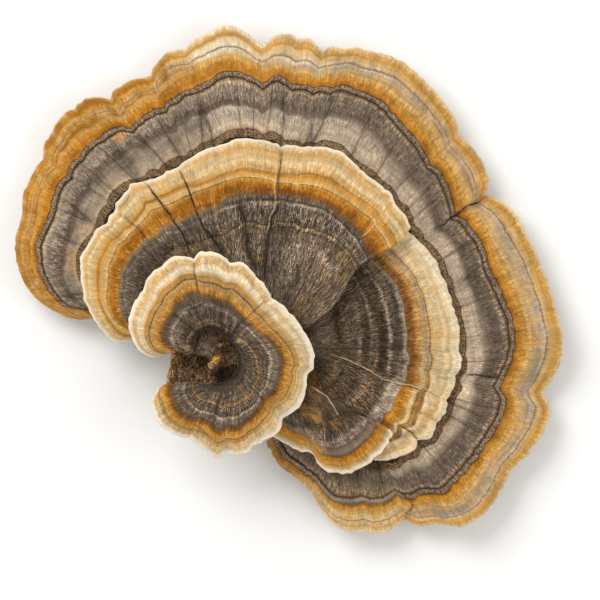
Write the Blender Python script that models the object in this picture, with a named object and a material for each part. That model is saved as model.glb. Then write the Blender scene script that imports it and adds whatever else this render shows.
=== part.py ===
"""Turkey tail fungus: four overlapping brackets, a funnel-shaped front cap and the old
tissue in its throat, on a lump of tissue that is cut off flat.

Sizes are in millimetres. The origin is the centre of the flat cut, Z points up, away
from the wood, and the outlines are drawn as seen from above. Each bracket is laid out
on the rays it grew along: every ray runs from a root to a point of the margin, a share
of 0 is its root and a share of 1 is its margin.
"""

import bpy
import numpy as np

MM = 0.001

ROOT_WALL = 2.4
FUNNEL_WALL = 1.3
MARGIN_WALL = 1.05
MARGIN_ROUNDING = 0.32
SCALLOP_CROWN = 0.55
RIDGE_HEIGHT = 0.45
FOLD_WIDTH = 0.35
FOLD_COLUMN_GAP = 0.4
END_BOW_REACH = 5.0

PAD_SIZE = (34.0, 24.0)
PAD_TOP = 3.5
PAD_MOUTH_RISE = 3.0
PAD_SIDES = 28
CORE_BOTTOM = 6.85
CORE_FLOOR = 8.8
CORE_LIP = 11.3

# Each outline is a start point and then its scallops, each from one notch to the next.
BACK_OUTLINE = [
    (-32.9, 2.6),
    [(-34.9, 1.8), (-37.5, 2.3), (-38.95, 3.0)],
    [(-40.8, 4.0), (-43.9, 6.7), (-45.6, 10.0), (-46.4, 13.5), (-46.4, 16.2), (-45.9, 18.2)],
    [(-45.2, 20.4), (-45.2, 23.3), (-44.05, 26.0)],
    [(-43.0, 28.3), (-41.6, 30.1)],
    [(-41.4, 32.5), (-40.0, 34.75)],
    [(-38.85, 36.8), (-37.6, 38.1), (-36.1, 38.7)],
    [(-34.9, 40.0), (-33.0, 40.9), (-29.9, 40.6)],
    [(-28.8, 42.2), (-26.0, 43.9), (-22.7, 44.5)],
    [(-22.05, 46.4), (-19.7, 48.7), (-16.8, 49.5)],
    [(-14.5, 51.2), (-10.3, 53.2), (-7.5, 53.0), (-4.9, 51.3), (-3.15, 49.8)],
    [(-1.2, 51.4), (1.4, 51.9), (3.4, 51.1)],
    [(5.4, 50.9), (7.5, 49.1)],
    [(9.3, 49.7), (10.9, 49.2)],
    [(13.2, 49.5), (17.3, 48.6), (21.2, 47.2), (24.7, 44.3), (28.0, 40.7), (30.8, 37.1), (31.3, 34.2)],
    [(33.2, 32.6), (35.2, 29.8), (36.6, 26.2), (36.05, 23.9)],
    [(38.7, 22.5), (41.3, 20.2), (43.4, 16.5), (45.15, 13.2), (46.0, 10.5)],
    [(47.1, 8.2), (48.4, 3.6), (49.5, -0.8), (49.2, -5.5), (47.4, -9.2), (46.0, -11.0)],
    [(47.5, -14.2), (46.3, -17.7), (43.9, -21.2), (40.2, -24.9)],
    [(39.1, -27.4), (36.2, -31.7), (32.0, -34.3), (27.2, -34.0)],
    [(24.5, -34.4), (21.85, -33.4)],
    [(20.2, -34.6), (17.3, -35.75), (14.8, -35.2)],
    [(12.7, -35.5), (9.7, -34.2), (7.3, -31.7), (5.3, -28.4)],
    [(2.7, -25.9), (0.1, -23.9), (-2.6, -19.7)],
]
RIGHT_OUTLINE = [
    (16.5, 20.3),
    [(19.5, 19.6), (22.6, 17.2), (25.2, 14.7), (27.5, 11.9), (28.1, 9.7)],
    [(29.2, 7.8), (30.3, 4.1), (31.4, 0.6), (31.4, -2.3), (31.2, -3.7)],
    [(31.8, -5.3), (31.4, -7.2), (30.6, -8.0)],
    [(30.6, -9.6), (29.9, -11.2), (29.2, -12.3)],
    [(29.2, -13.9), (28.6, -14.9), (27.6, -16.1)],
    [(27.1, -17.6), (26.2, -18.9), (24.1, -19.4)],
    [(23.7, -21.0), (21.7, -22.0), (18.6, -22.8), (15.5, -22.6), (12.0, -21.0)],
]
LOWER_OUTLINE = [
    (19.4, -17.5),
    [(19.7, -18.3), (19.6, -18.8), (19.05, -19.15)],
    [(18.8, -20.2), (16.7, -22.3), (14.3, -24.2), (11.8, -25.1), (9.9, -25.05)],
    [(8.2, -24.8), (6.6, -23.4), (5.9, -22.0), (4.9, -21.4)],
    [(3.6, -21.2), (0.6, -19.7), (-1.6, -18.4), (-3.2, -16.8)],
]
MIDDLE_OUTLINE = [
    (-23.2, -0.6),
    [
        (-26.0, -1.8), (-28.4, -2.05), (-30.6, -0.7), (-32.7, 2.1),
        (-34.3, 5.4), (-34.8, 9.1), (-35.0, 12.6), (-34.05, 14.3),
    ],
    [(-33.2, 15.65), (-32.4, 17.5), (-31.4, 18.05)],
    [(-30.3, 18.9), (-29.9, 19.9), (-29.15, 20.6)],
    [(-28.8, 21.3), (-28.6, 22.4), (-26.5, 24.6), (-26.0, 25.7), (-24.0, 25.9)],
    [(-21.85, 26.6), (-19.45, 27.9), (-17.8, 28.6)],
    [(-16.0, 30.0), (-12.1, 31.9), (-9.3, 32.8)],
    [(-6.4, 33.5), (-2.05, 33.0), (0.2, 32.2)],
    [(2.0, 32.35), (3.8, 32.0)],
    [(6.5, 32.15), (10.15, 31.5), (12.2, 29.9), (14.7, 27.6), (17.5, 25.3), (19.1, 24.2), (20.2, 22.2)],
    [(21.8, 20.2), (22.8, 17.9)],
]
FRONT_OUTLINE = [
    (-22.0, -4.8),
    [(-24.4, -3.7), (-26.1, -0.5), (-26.3, 2.0), (-25.2, 5.0), (-23.9, 7.0)],
    [(-23.0, 9.3), (-20.2, 11.6)],
    [(-18.4, 12.9), (-15.9, 12.75), (-15.1, 12.5)],
    [(-13.9, 13.6), (-11.0, 13.4), (-8.7, 11.9)],
    [(-6.6, 11.8), (-4.6, 10.2), (-4.1, 9.4)],
    [(-2.6, 8.0), (-1.5, 5.6)],
    [(0.6, 4.2), (3.8, 0.6), (5.7, -3.0), (6.0, -6.2), (4.9, -7.8)],
    [(4.5, -10.5), (3.3, -13.4), (0.6, -15.4)],
    [(0.0, -17.3), (-1.4, -18.7), (-4.8, -20.3)],
    [(-5.6, -21.2), (-7.5, -21.8), (-9.4, -21.5)],
    [(-11.2, -22.3), (-13.1, -20.9), (-15.7, -18.9)],
    [(-18.2, -18.3), (-21.0, -16.3), (-22.6, -13.1), (-22.1, -11.4), (-20.9, -9.9)],
]

# Each ray is a point of the margin and the root that it grew from.
BACK_RAYS = [
    ((-32.9, 2.6), (-6.0, 4.2)),
    ((-46.4, 13.5), (-5.5, 4.4)),
    ((-36.1, 38.7), (-5.3, 4.5)),
    ((-10.3, 53.2), (-4.0, 4.6)),
    ((10.9, 49.2), (-2.0, 4.5)),
    ((31.3, 34.2), (3.0, 3.2)),
    ((36.05, 23.9), (6.0, 2.0)),
    ((38.7, 22.5), (8.0, 1.0)),
    ((43.4, 16.5), (12.5, -2.0)),
    ((46.0, 10.5), (13.2, -3.5)),
    ((49.5, -0.8), (13.6, -4.8)),
    ((46.0, -11.0), (13.9, -6.0)),
    ((40.2, -24.9), (14.0, -7.0)),
    ((27.2, -34.0), (13.8, -8.0)),
    ((21.85, -33.4), (13.4, -8.6)),
    ((12.7, -35.5), (12.8, -9.0)),
    ((2.7, -25.9), (12.2, -9.2)),
    ((-2.6, -19.7), (11.6, -9.3)),
]
RIGHT_RAYS = [
    ((16.5, 20.3), (5.5, 4.5)),
    ((22.6, 17.2), (6.0, 2.5)),
    ((28.1, 9.7), (6.5, 0.0)),
    ((31.4, -2.3), (6.5, -3.0)),
    ((29.2, -12.3), (6.5, -4.5)),
    ((24.1, -19.4), (6.8, -6.0)),
    ((15.5, -22.6), (7.0, -7.5)),
    ((12.0, -21.0), (6.5, -8.2)),
]
LOWER_RAYS = [
    ((19.4, -17.5), (5.2, -8.6)),
    ((16.7, -22.3), (4.2, -7.6)),
    ((9.9, -25.05), (2.5, -7.2)),
    ((4.9, -21.4), (0.5, -7.5)),
    ((-3.2, -16.8), (-3.5, -8.5)),
]
MIDDLE_RAYS = [
    ((-23.2, -0.6), (-20.5, 3.8)),
    ((-28.4, -2.05), (-20.5, 4.5)),
    ((-33.3, 3.2), (-18.5, 5.5)),
    ((-34.9, 10.5), (-16.0, 6.0)),
    ((-31.4, 18.05), (-13.5, 5.0)),
    ((-26.5, 24.6), (-11.0, 3.8)),
    ((-17.8, 28.6), (-8.0, 2.8)),
    ((-9.3, 32.8), (-6.0, 2.2)),
    ((0.2, 32.2), (-3.2, 1.8)),
    ((10.15, 31.5), (0.0, 2.0)),
    ((17.5, 25.3), (2.5, 1.2)),
    ((22.8, 17.9), (3.6, -0.3)),
]
FRONT_RAYS = [
    ((-22.0, -4.8), (-15.0, -3.0)),
    ((-26.1, -0.5), (-14.9, -2.0)),
    ((-23.9, 7.0), (-14.2, -0.6)),
    ((-15.1, 12.5), (-12.6, 0.2)),
    ((-8.7, 11.9), (-11.2, -0.1)),
    ((-1.5, 5.6), (-9.2, -1.3)),
    ((5.7, -3.0), (-7.6, -3.6)),
    ((4.5, -10.5), (-7.3, -5.6)),
    ((-1.4, -18.7), (-7.8, -7.4)),
    ((-9.4, -21.5), (-8.8, -8.6)),
    ((-15.7, -18.9), (-10.4, -9.2)),
    ((-22.6, -13.1), (-11.8, -9.4)),
    ((-20.9, -9.9), (-12.6, -9.45)),
]

# Where the first or last ray of a cap is an open edge that bends, from root to margin.
MIDDLE_LAST_EDGE = [
    (3.6, -0.3), (5.9, 1.2), (9.5, 4.2), (12.0, 8.3), (13.8, 10.9), (16.9, 12.9), (20.9, 15.3), (22.8, 17.9),
]
LOWER_FIRST_EDGE = [(5.2, -8.6), (9.0, -12.0), (12.7, -14.4), (16.0, -15.7), (19.4, -17.5)]
FRONT_FIRST_EDGE = [
    (-15.0, -3.0), (-15.5, -4.1), (-16.5, -4.3), (-17.3, -3.8), (-19.1, -4.0), (-20.6, -4.35), (-22.0, -4.8),
]
FRONT_LAST_EDGE = [
    (-12.6, -9.45), (-13.8, -9.1), (-16.2, -9.1), (-17.9, -9.3), (-19.9, -9.4), (-20.9, -9.9),
]

# The bumpy ridge that runs round the back bracket, inside its orange zone.
BACK_RIDGE = [
    (-33.4, 3.7), (-36.2, 3.9), (-38.8, 5.8), (-41.0, 9.3), (-41.9, 13.0), (-41.2, 16.7), (-39.5, 20.0),
    (-38.4, 24.6), (-36.4, 27.5), (-33.8, 30.9), (-30.1, 33.4), (-24.9, 35.7), (-19.7, 39.2), (-16.6, 41.0),
    (-11.9, 42.9), (-9.5, 44.3), (-5.5, 43.6), (-2.3, 42.8), (-1.0, 43.9), (2.7, 42.05), (10.15, 42.05),
    (15.2, 40.5), (19.5, 37.0), (24.1, 31.7), (28.0, 26.3), (29.6, 22.0), (30.3, 19.6), (33.4, 16.6),
    (35.5, 12.6), (37.5, 7.4), (39.4, 2.8), (40.35, -1.6), (39.1, -6.8), (38.05, -9.4), (38.7, -12.3),
    (36.1, -18.6), (32.8, -23.2), (28.0, -27.8), (22.1, -28.85), (20.6, -28.2), (16.2, -29.6),
    (10.8, -29.4), (7.95, -27.5),
]

# Heights of a cap's upper side along a ray, as shares and heights.
BACK_PROFILE = [(0.05, 6.2), (0.5, 6.4), (0.7, 6.2), (0.85, 5.6), (1.0, 4.6)]
RIGHT_PROFILE = [(0.0, 9.0), (0.4, 8.95), (0.8, 8.5), (1.0, 8.0)]
LOWER_PROFILE = [(0.0, 11.8), (0.5, 11.4), (0.8, 9.9), (1.0, 8.4)]
MIDDLE_PROFILE = [(0.0, 11.8), (0.5, 11.3), (0.8, 10.0), (1.0, 8.2)]
FRONT_PROFILE = [
    (0.0, 10.5), (0.1, 13.0), (0.25, 15.2), (0.45, 16.5), (0.6, 16.6), (0.8, 15.7),
    (0.92, 14.7), (1.0, 13.8),
]

# How much the margin is lifted or sunk at points of the outline.
BACK_LIFTS = [
    ((-32.9, 2.6), -0.6), ((-43.9, 6.7), 0.5), ((-46.4, 13.5), 1.1), ((-44.05, 26.0), -0.9),
    ((-38.85, 36.8), 0.7), ((-29.9, 40.6), 0.2), ((-22.7, 44.5), -1.1), ((-10.3, 53.2), 1.0),
    ((-3.15, 49.8), 0.0), ((7.5, 49.1), -0.9), ((21.2, 47.2), 1.0), ((31.3, 34.2), 0.0),
    ((36.05, 23.9), -0.7), ((43.4, 16.5), 0.7), ((46.0, 10.5), 0.2), ((49.5, -0.8), 1.3),
    ((46.0, -11.0), -1.0), ((43.9, -21.2), 0.5), ((32.0, -34.3), 1.4), ((21.85, -33.4), -0.7),
    ((12.7, -35.5), 0.8), ((-2.6, -19.7), -1.0),
]
RIGHT_LIFTS = [
    ((16.5, 20.3), 0.0), ((28.1, 9.7), 0.1), ((31.4, -2.3), 0.0), ((24.1, -19.4), 0.1), ((12.0, -21.0), 0.0),
]
LOWER_LIFTS = [
    ((19.4, -17.5), 2.2), ((16.7, -22.3), 1.6), ((9.9, -25.05), 0.1), ((4.9, -21.4), 0.0), ((-3.2, -16.8), 0.6),
]
MIDDLE_LIFTS = [
    ((-23.2, -0.6), 0.0), ((-34.8, 9.1), 0.3), ((-29.15, 20.6), 0.0), ((-26.5, 24.6), 0.4),
    ((-17.8, 28.6), 0.0), ((-6.4, 33.5), 0.5), ((10.15, 31.5), 0.3), ((17.5, 25.3), 1.0),
    ((22.8, 17.9), 2.3),
]
FRONT_LIFTS = [
    ((-22.0, -4.8), 0.4), ((-26.1, -0.5), -0.2), ((-15.1, 12.5), 0.0), ((-4.1, 9.4), 0.3), ((5.7, -3.0), 0.0),
    ((0.6, -15.4), 0.3), ((-9.4, -21.5), -0.6), ((-22.6, -13.1), 0.6), ((-20.9, -9.9), 0.2),
]

# Each fold is its line from the margin inwards, how high one side stands over the
# other, which side that is (1 after the line along the margin, -1 before it), and how
# far from the line it fades out.
BACK_FOLDS = [
    ([(36.05, 23.9), (34.0, 22.2), (31.3, 20.6), (28.4, 18.4)], 1.1, -1, 7.0),
    ([(21.85, -33.4), (22.6, -31.9), (23.1, -30.4), (21.5, -28.6)], 0.8, 1, 5.0),
]
RIGHT_FOLDS = [
    ([(29.2, -12.3), (25.5, -10.7), (17.8, -8.4), (11.4, -5.3)], 0.8, 1, 7.0),
]
LOWER_FOLDS = [
    ([(9.9, -25.05), (8.6, -21.0), (7.5, -16.2), (5.4, -13.0)], 0.7, 1, 5.0),
]
MIDDLE_FOLDS = [
    ([(-29.15, 20.6), (-26.2, 18.9), (-22.9, 15.4)], 0.8, -1, 6.0),
    ([(-24.0, 25.9), (-20.3, 21.5), (-15.3, 13.3)], 0.5, 1, 5.0),
    ([(-17.8, 28.6), (-14.9, 21.8), (-9.1, 13.1)], 0.5, 1, 5.0),
    ([(0.2, 32.2), (-0.3, 27.0), (-0.6, 21.0), (-2.3, 12.0)], 0.9, -1, 6.0),
]
FRONT_FOLDS = [
    ([(-15.1, 12.5), (-14.2, 6.5)], 0.5, 1, 5.0),
    ([(-15.7, -18.9), (-14.0, -15.5)], 0.5, -1, 4.0),
]

BACK_ROWS = (0.05, 0.38, 0.68, 0.88, 0.94, 1.0, 1.06, 1.2, 1.5, 1.8, 2.0)
CAP_ROWS = (0.0, 0.12, 0.26, 0.42, 0.58, 0.72, 0.84, 0.94, 1.0)


def smooth_curve(points, pieces):
    """Points spaced evenly along a smooth curve through the given ones."""
    p = np.array(points, float)
    p = np.vstack([2 * p[0] - p[1], p, 2 * p[-1] - p[-2]])
    t = np.linspace(0.0, 1.0, 12, endpoint=False)[:, None]
    runs = []
    for a, b, c, d in zip(p[:-3], p[1:-2], p[2:-1], p[3:]):
        bend = (2 * a - 5 * b + 4 * c - d) * t**2 + (3 * b - a - 3 * c + d) * t**3
        runs.append(0.5 * (2 * b + (c - a) * t + bend))
    dense = np.vstack([*runs, p[-2:-1]])
    length = np.append(0.0, np.cumsum(np.linalg.norm(np.diff(dense, axis=0), axis=1)))
    stops = np.linspace(0.0, length[-1], pieces + 1)
    return np.column_stack([np.interp(stops, length, dense[:, axis]) for axis in (0, 1)])


def smooth_step(x):
    x = np.clip(x, 0.0, 1.0)
    return x * x * (3.0 - 2.0 * x)


def margin_of(outline, spacing, fold_starts):
    """The margin's points, their distance along it, and their place in a scallop, 0 to 1.

    A notch where a fold starts gets a column close to it on each side, so that the fold
    is a step and not a slope.
    """
    points, places = [np.array(outline[0], float)], [0.0]
    for scallop in outline[1:]:
        start = points[-1]
        rough = smooth_curve([start, *scallop], 24)
        length = np.linalg.norm(np.diff(rough, axis=0), axis=1).sum()
        run = smooth_curve([start, *scallop], max(2, round(length / spacing)))
        place = np.linspace(0.0, 1.0, len(run))
        for end, inner in ((0, 1), (-1, -2)):
            if tuple(np.round(run[end], 2)) in fold_starts:
                near = run[end] + (run[inner] - run[end]) * FOLD_COLUMN_GAP / spacing
                at = 1 if end == 0 else len(run) - 1
                run = np.insert(run, at, near, axis=0)
                place = np.insert(place, at, place[end] * 0.9 + 0.05)
        points.extend(run[1:])
        places.extend(place[1:])
    points = np.array(points)
    along = np.append(0.0, np.cumsum(np.linalg.norm(np.diff(points, axis=0), axis=1)))
    return points, along, np.array(places)


def nearest(margin, along, point):
    return along[np.argmin(np.linalg.norm(margin - point, axis=1))]


def between_rays(margin, along, anchors):
    """For each margin point the value between those that are given at points of it."""
    stops = [nearest(margin, along, point) for point, _ in anchors]
    values = np.array([value for _, value in anchors], float).reshape(len(anchors), -1)
    return np.column_stack([np.interp(along, stops, column) for column in values.T])


def on_rays(points, margin, along, roots):
    """Where each drawn point lies on the rays: distance along the margin, and share."""
    rays = margin - roots
    found = []
    for point in np.array(points, float):
        share = ((point - roots) * rays).sum(axis=1) / (rays**2).sum(axis=1)
        miss = np.linalg.norm(point - roots - share[:, None] * rays, axis=1)
        miss[(share < 0.02) | (share > 1.1)] = np.inf
        best = np.argmin(miss)
        found.append((along[best], share[best]))
    return np.array(found)


def bow(edge, root, tip, shares):
    """How far a bent edge lies off the straight ray, at each share."""
    bent = smooth_curve(edge, 40)
    straight = root + np.linspace(0.0, 1.0, len(bent))[:, None] * (tip - root)
    off = bent - straight
    knots = np.linspace(0.0, 1.0, len(bent))
    return np.stack([np.interp(shares, knots, off[:, axis]) for axis in (0, 1)], axis=-1)


def fold_relief(fold, margin, along, roots, shares):
    line, height, side, reach = fold
    where = on_rays(line, margin, along, roots)
    where = where[np.argsort(where[:, 1])]
    start = np.interp(shares, where[:, 1], where[:, 0])
    across = (along[:, None] - start) * side * shares
    step = smooth_step(across / FOLD_WIDTH + 0.5) - 0.5
    fade = smooth_step((shares - where[0, 1]) / (1.0 - where[0, 1]) * 1.6)
    return height * step * np.exp(-((across / reach) ** 2)) * fade


def ridge_shares(line, margin, along, roots):
    found = on_rays(line, margin, along, roots)
    found = found[np.argsort(found[:, 0])]
    return np.interp(along, found[:, 0], found[:, 1])


def bracket_surfaces(
    outline, rays, profile, lifts, folds, rows, spacing,
    ridge=None, edges=(None, None), root_wall=ROOT_WALL,
):
    """The upper and lower side of a cap, each as columns of points from root to margin."""
    starts = {tuple(fold[0][0]) for fold in folds}
    margin, along, place = margin_of(outline, spacing, starts)
    roots = between_rays(margin, along, rays)
    lift = between_rays(margin, along, lifts)
    rows = np.array(rows)[None, :]
    if ridge:
        crest = ridge_shares(ridge, margin, along, roots)[:, None]
        outer = crest + (1.0 - crest) * (rows - 1.0)
        shares = np.where(rows < 1.0, rows * crest, outer)
    else:
        shares = np.repeat(rows, len(along), axis=0)
    flat = roots[:, None] + shares[..., None] * (margin - roots)[:, None]
    for edge, column in zip(edges, (0, -1)):
        if edge:
            weight = 1.0 - smooth_step(abs(along - along[column]) / END_BOW_REACH)
            off = bow(edge, roots[column], margin[column], shares)
            flat = flat + weight[:, None, None] * off
    height = np.interp(shares, *zip(*profile)) + lift * shares**3
    dome = (4.0 * place * (1.0 - place) - 0.5)[:, None]
    height += SCALLOP_CROWN * dome * smooth_step((shares - 0.72) / 0.28)
    for fold in folds:
        height += fold_relief(fold, margin, along, roots, shares)
    inwards = np.cos(np.clip(shares, 0.0, 1.0) * np.pi / 2) ** 0.8
    wall = MARGIN_WALL + (root_wall - MARGIN_WALL) * inwards
    under = height - wall
    top = height.copy()
    if ridge:
        top += RIDGE_HEIGHT * np.clip(1.0 - abs(rows - 1.0) / 0.09, 0.0, 1.0)
    top[:, -1] -= MARGIN_ROUNDING
    under[:, -1] += MARGIN_ROUNDING / 2
    return np.dstack([flat, top]), np.dstack([flat, under])


def add_faces(name, points, faces, colour, roughness):
    """A closed mesh object in metres, with its own material."""
    mesh = bpy.data.meshes.new(name)
    mesh.from_pydata([tuple(point) for point in np.array(points) * MM], [], faces)
    mesh.validate()
    obj = bpy.data.objects.new(name, mesh)
    bpy.context.scene.collection.objects.link(obj)
    mesh.shade_smooth()
    mesh.set_sharp_from_angle(angle=np.radians(50.0))
    material = bpy.data.materials.new(name + "_finish")
    material.use_nodes = True
    shader = material.node_tree.nodes["Principled BSDF"]
    shader.inputs["Base Color"].default_value = (*colour, 1.0)
    shader.inputs["Roughness"].default_value = roughness
    shader.inputs["Metallic"].default_value = 0.0
    mesh.materials.append(material)
    return obj


def add_bracket(name, surfaces, colour):
    """Closes the two sides of a cap with its rim, its root and its two ends.

    The lower side keeps only every second row, because it is smoother.
    """
    top, under = surfaces
    last = top.shape[1] - 1
    kept = [row for row in range(last + 1) if (last - row) % 2 == 0 or row == 0]
    under = under[:, kept]
    columns, low_last = len(top), len(kept) - 1
    first_low = columns * (last + 1)

    def high(column, row):
        return column * (last + 1) + row

    def low(column, row):
        return first_low + column * (low_last + 1) + row

    faces = []
    for c in range(columns - 1):
        for r in range(last):
            faces.append((high(c, r), high(c + 1, r), high(c + 1, r + 1), high(c, r + 1)))
        for r in range(low_last):
            faces.append((low(c, r), low(c, r + 1), low(c + 1, r + 1), low(c + 1, r)))
        faces.append((high(c, last), high(c + 1, last), low(c + 1, low_last), low(c, low_last)))
        faces.append((high(c, 0), low(c, 0), low(c + 1, 0), high(c + 1, 0)))
    for c, turn in ((0, 1), (columns - 1, -1)):
        up = [high(c, r) for r in range(last + 1)]
        down = [low(c, r) for r in range(low_last, -1, -1)]
        faces.append(tuple((up + down)[::turn]))
    points = np.vstack([top.reshape(-1, 3), under.reshape(-1, 3)])
    return add_faces(name, points, faces, colour, 0.85)


def add_rings(name, rings, colour):
    """A closed lump from rings of points, the first one at the bottom, capped at both ends."""
    sides = len(rings[0])
    faces = [tuple(reversed(range(sides)))]
    for ring in range(len(rings) - 1):
        for i in range(sides):
            j = (i + 1) % sides
            a, b = ring * sides, (ring + 1) * sides
            faces.append((a + i, a + j, b + j, b + i))
    faces.append(tuple(range((len(rings) - 1) * sides, len(rings) * sides)))
    return add_faces(name, np.vstack(rings), faces, colour, 0.92)


def pad_top(x, y):
    """The pad is low under the back bracket and rises in the gap between its two ends."""
    into_mouth = (x + 14.0) * -0.408 + (y - 1.5) * -0.913
    return PAD_TOP + PAD_MOUTH_RISE * smooth_step((into_mouth - 1.2) / 3.3)


def build_pad():
    angle = np.linspace(0.0, 2 * np.pi, PAD_SIDES, endpoint=False)
    lumps = 1.0 + 0.04 * np.sin(3 * angle + 0.6) + 0.03 * np.sin(7 * angle + 2.0)
    x = PAD_SIZE[0] / 2 * np.cos(angle) * lumps
    y = PAD_SIZE[1] / 2 * np.sin(angle) * lumps
    rings = [np.column_stack([x, y, np.zeros(PAD_SIDES)])]
    for reach, rise in ((1.0, 0.45), (0.93, 0.85), (0.8, 1.0), (0.55, 1.0), (0.3, 1.0)):
        rings.append(np.column_stack([x * reach, y * reach, rise * pad_top(x * reach, y * reach)]))
    return add_rings("attachment_pad", rings, (0.18, 0.10, 0.05))


def core_top(x, y):
    """The old tissue is a low floor in the funnel and a higher lip in the gap."""
    lip = smooth_step((-15.4 - x) / 2.4)
    knob = 0.5 * np.exp(-((x + 11.4) ** 2 + (y + 5.2) ** 2) / 2.5)
    return CORE_FLOOR + (CORE_LIP - CORE_FLOOR) * lip + knob


def build_core():
    outline = [
        (-19.0, -3.6), (-19.2, -6.1), (-19.7, -9.6), (-16.0, -10.6), (-11.0, -10.6), (-7.5, -9.2),
        (-5.8, -5.5), (-6.5, -1.8), (-9.5, 0.8), (-13.0, 1.4), (-16.5, -0.6), (-18.2, -2.2),
    ]
    edge = smooth_curve([*outline, outline[0]], 32)[:-1]
    centre = np.array([-12.4, -4.8])
    rings = []
    sections = (
        (0.7, 0.0), (0.95, 0.25), (1.0, 0.8), (0.94, 1.0), (0.75, 1.0), (0.5, 1.0), (0.22, 1.0),
    )
    for reach, rise in sections:
        ring = centre + (edge - centre) * reach
        height = CORE_BOTTOM + rise * (core_top(ring[:, 0], ring[:, 1]) - CORE_BOTTOM)
        rings.append(np.column_stack([ring, height]))
    return add_rings("core_stub", rings, (0.07, 0.04, 0.02))


def build_back():
    surfaces = bracket_surfaces(
        BACK_OUTLINE, BACK_RAYS, BACK_PROFILE, BACK_LIFTS, BACK_FOLDS, BACK_ROWS, 2.7, ridge=BACK_RIDGE
    )
    return add_bracket("back_bracket", surfaces, (0.42, 0.30, 0.18))


def build_right():
    surfaces = bracket_surfaces(
        RIGHT_OUTLINE, RIGHT_RAYS, RIGHT_PROFILE, RIGHT_LIFTS, RIGHT_FOLDS, CAP_ROWS, 2.6
    )
    return add_bracket("right_bracket", surfaces, (0.12, 0.09, 0.06))


def build_lower():
    surfaces = bracket_surfaces(
        LOWER_OUTLINE, LOWER_RAYS, LOWER_PROFILE, LOWER_LIFTS, LOWER_FOLDS, CAP_ROWS, 2.4,
        edges=(LOWER_FIRST_EDGE, None),
    )
    return add_bracket("lower_bracket", surfaces, (0.30, 0.22, 0.14))


def build_middle():
    surfaces = bracket_surfaces(
        MIDDLE_OUTLINE, MIDDLE_RAYS, MIDDLE_PROFILE, MIDDLE_LIFTS, MIDDLE_FOLDS, CAP_ROWS, 2.6,
        edges=(None, MIDDLE_LAST_EDGE),
    )
    return add_bracket("middle_bracket", surfaces, (0.45, 0.32, 0.18))


def build_front():
    surfaces = bracket_surfaces(
        FRONT_OUTLINE, FRONT_RAYS, FRONT_PROFILE, FRONT_LIFTS, FRONT_FOLDS, CAP_ROWS, 2.2,
        edges=(FRONT_FIRST_EDGE, FRONT_LAST_EDGE), root_wall=FUNNEL_WALL,
    )
    return add_bracket("front_cap", surfaces, (0.50, 0.36, 0.20))


def main():
    for obj in list(bpy.data.objects):
        bpy.data.objects.remove(obj, do_unlink=True)
    build_pad()
    build_back()
    build_right()
    build_lower()
    build_middle()
    build_core()
    build_front()


main()
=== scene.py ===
"""Turkey tail fungus: the finish of a cluster of zoned brackets round a flat-cut lump.

Every cap is laid out again on the rays it grew along, as in the solids, but with columns
and rows fine enough for furrows, rings, creases and a rolled rim. What a point is, in
growth zones, millimetres along the margin and millimetres from it, is kept on the mesh
as attributes, and the materials read them.
"""

from types import SimpleNamespace

import bpy
import numpy as np
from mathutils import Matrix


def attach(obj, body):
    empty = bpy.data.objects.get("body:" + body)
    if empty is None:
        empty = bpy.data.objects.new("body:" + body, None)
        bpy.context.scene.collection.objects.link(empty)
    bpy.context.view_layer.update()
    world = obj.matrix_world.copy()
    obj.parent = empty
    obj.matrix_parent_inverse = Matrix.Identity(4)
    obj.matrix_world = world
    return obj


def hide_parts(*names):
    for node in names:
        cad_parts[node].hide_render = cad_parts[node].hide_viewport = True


bl_info = {
    "name": "Turkey tail fungus",
    "version": (1, 0, 0),
    "blender": (4, 5, 0),
    "location": "View3D > Sidebar > Fungus",
    "description": "Caps, old tissue and cut pad of a turkey tail cluster, with their materials",
    "category": "Add Mesh",
}

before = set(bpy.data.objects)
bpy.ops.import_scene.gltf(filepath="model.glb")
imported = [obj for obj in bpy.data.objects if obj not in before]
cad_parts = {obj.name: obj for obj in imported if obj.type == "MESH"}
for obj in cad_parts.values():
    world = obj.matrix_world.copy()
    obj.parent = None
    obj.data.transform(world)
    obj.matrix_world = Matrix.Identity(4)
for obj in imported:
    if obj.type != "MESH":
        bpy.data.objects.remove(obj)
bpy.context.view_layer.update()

MM = 0.001
# Lengths in millimetres: thickness of the caps at their roots, how far a scallop bulges up,
# how wide a fold's step is, how high the lightest strokes stand, and how uneven the margin
# and the ridge's line are.
WALL_AT_ROOT = 2.4
FUNNEL_WALL = 1.3
SCALLOP_CROWN = 0.55
FOLD_WIDTH = 0.45
SHADE_RELIEF = 0.25
MARGIN_WOBBLE = 0.16
CREST_WOBBLE = 0.13
# How far a bent end edge bends the columns beside it, and how far a drawn line is felt.
END_BOW_REACH = 5.0
LINE_REACH = 4.0
# The rolled rim's cross-section, as degrees from the upper to the lower side.
RIM_TURNS = (70.0, 45.0, 20.0, 0.0, -20.0, -45.0, -70.0)
# Underside of the old tissue, and the pad's half widths.
CORE_FLOOR = 6.85
PAD_HALF_WIDTHS = (17.0, 12.0)

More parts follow.
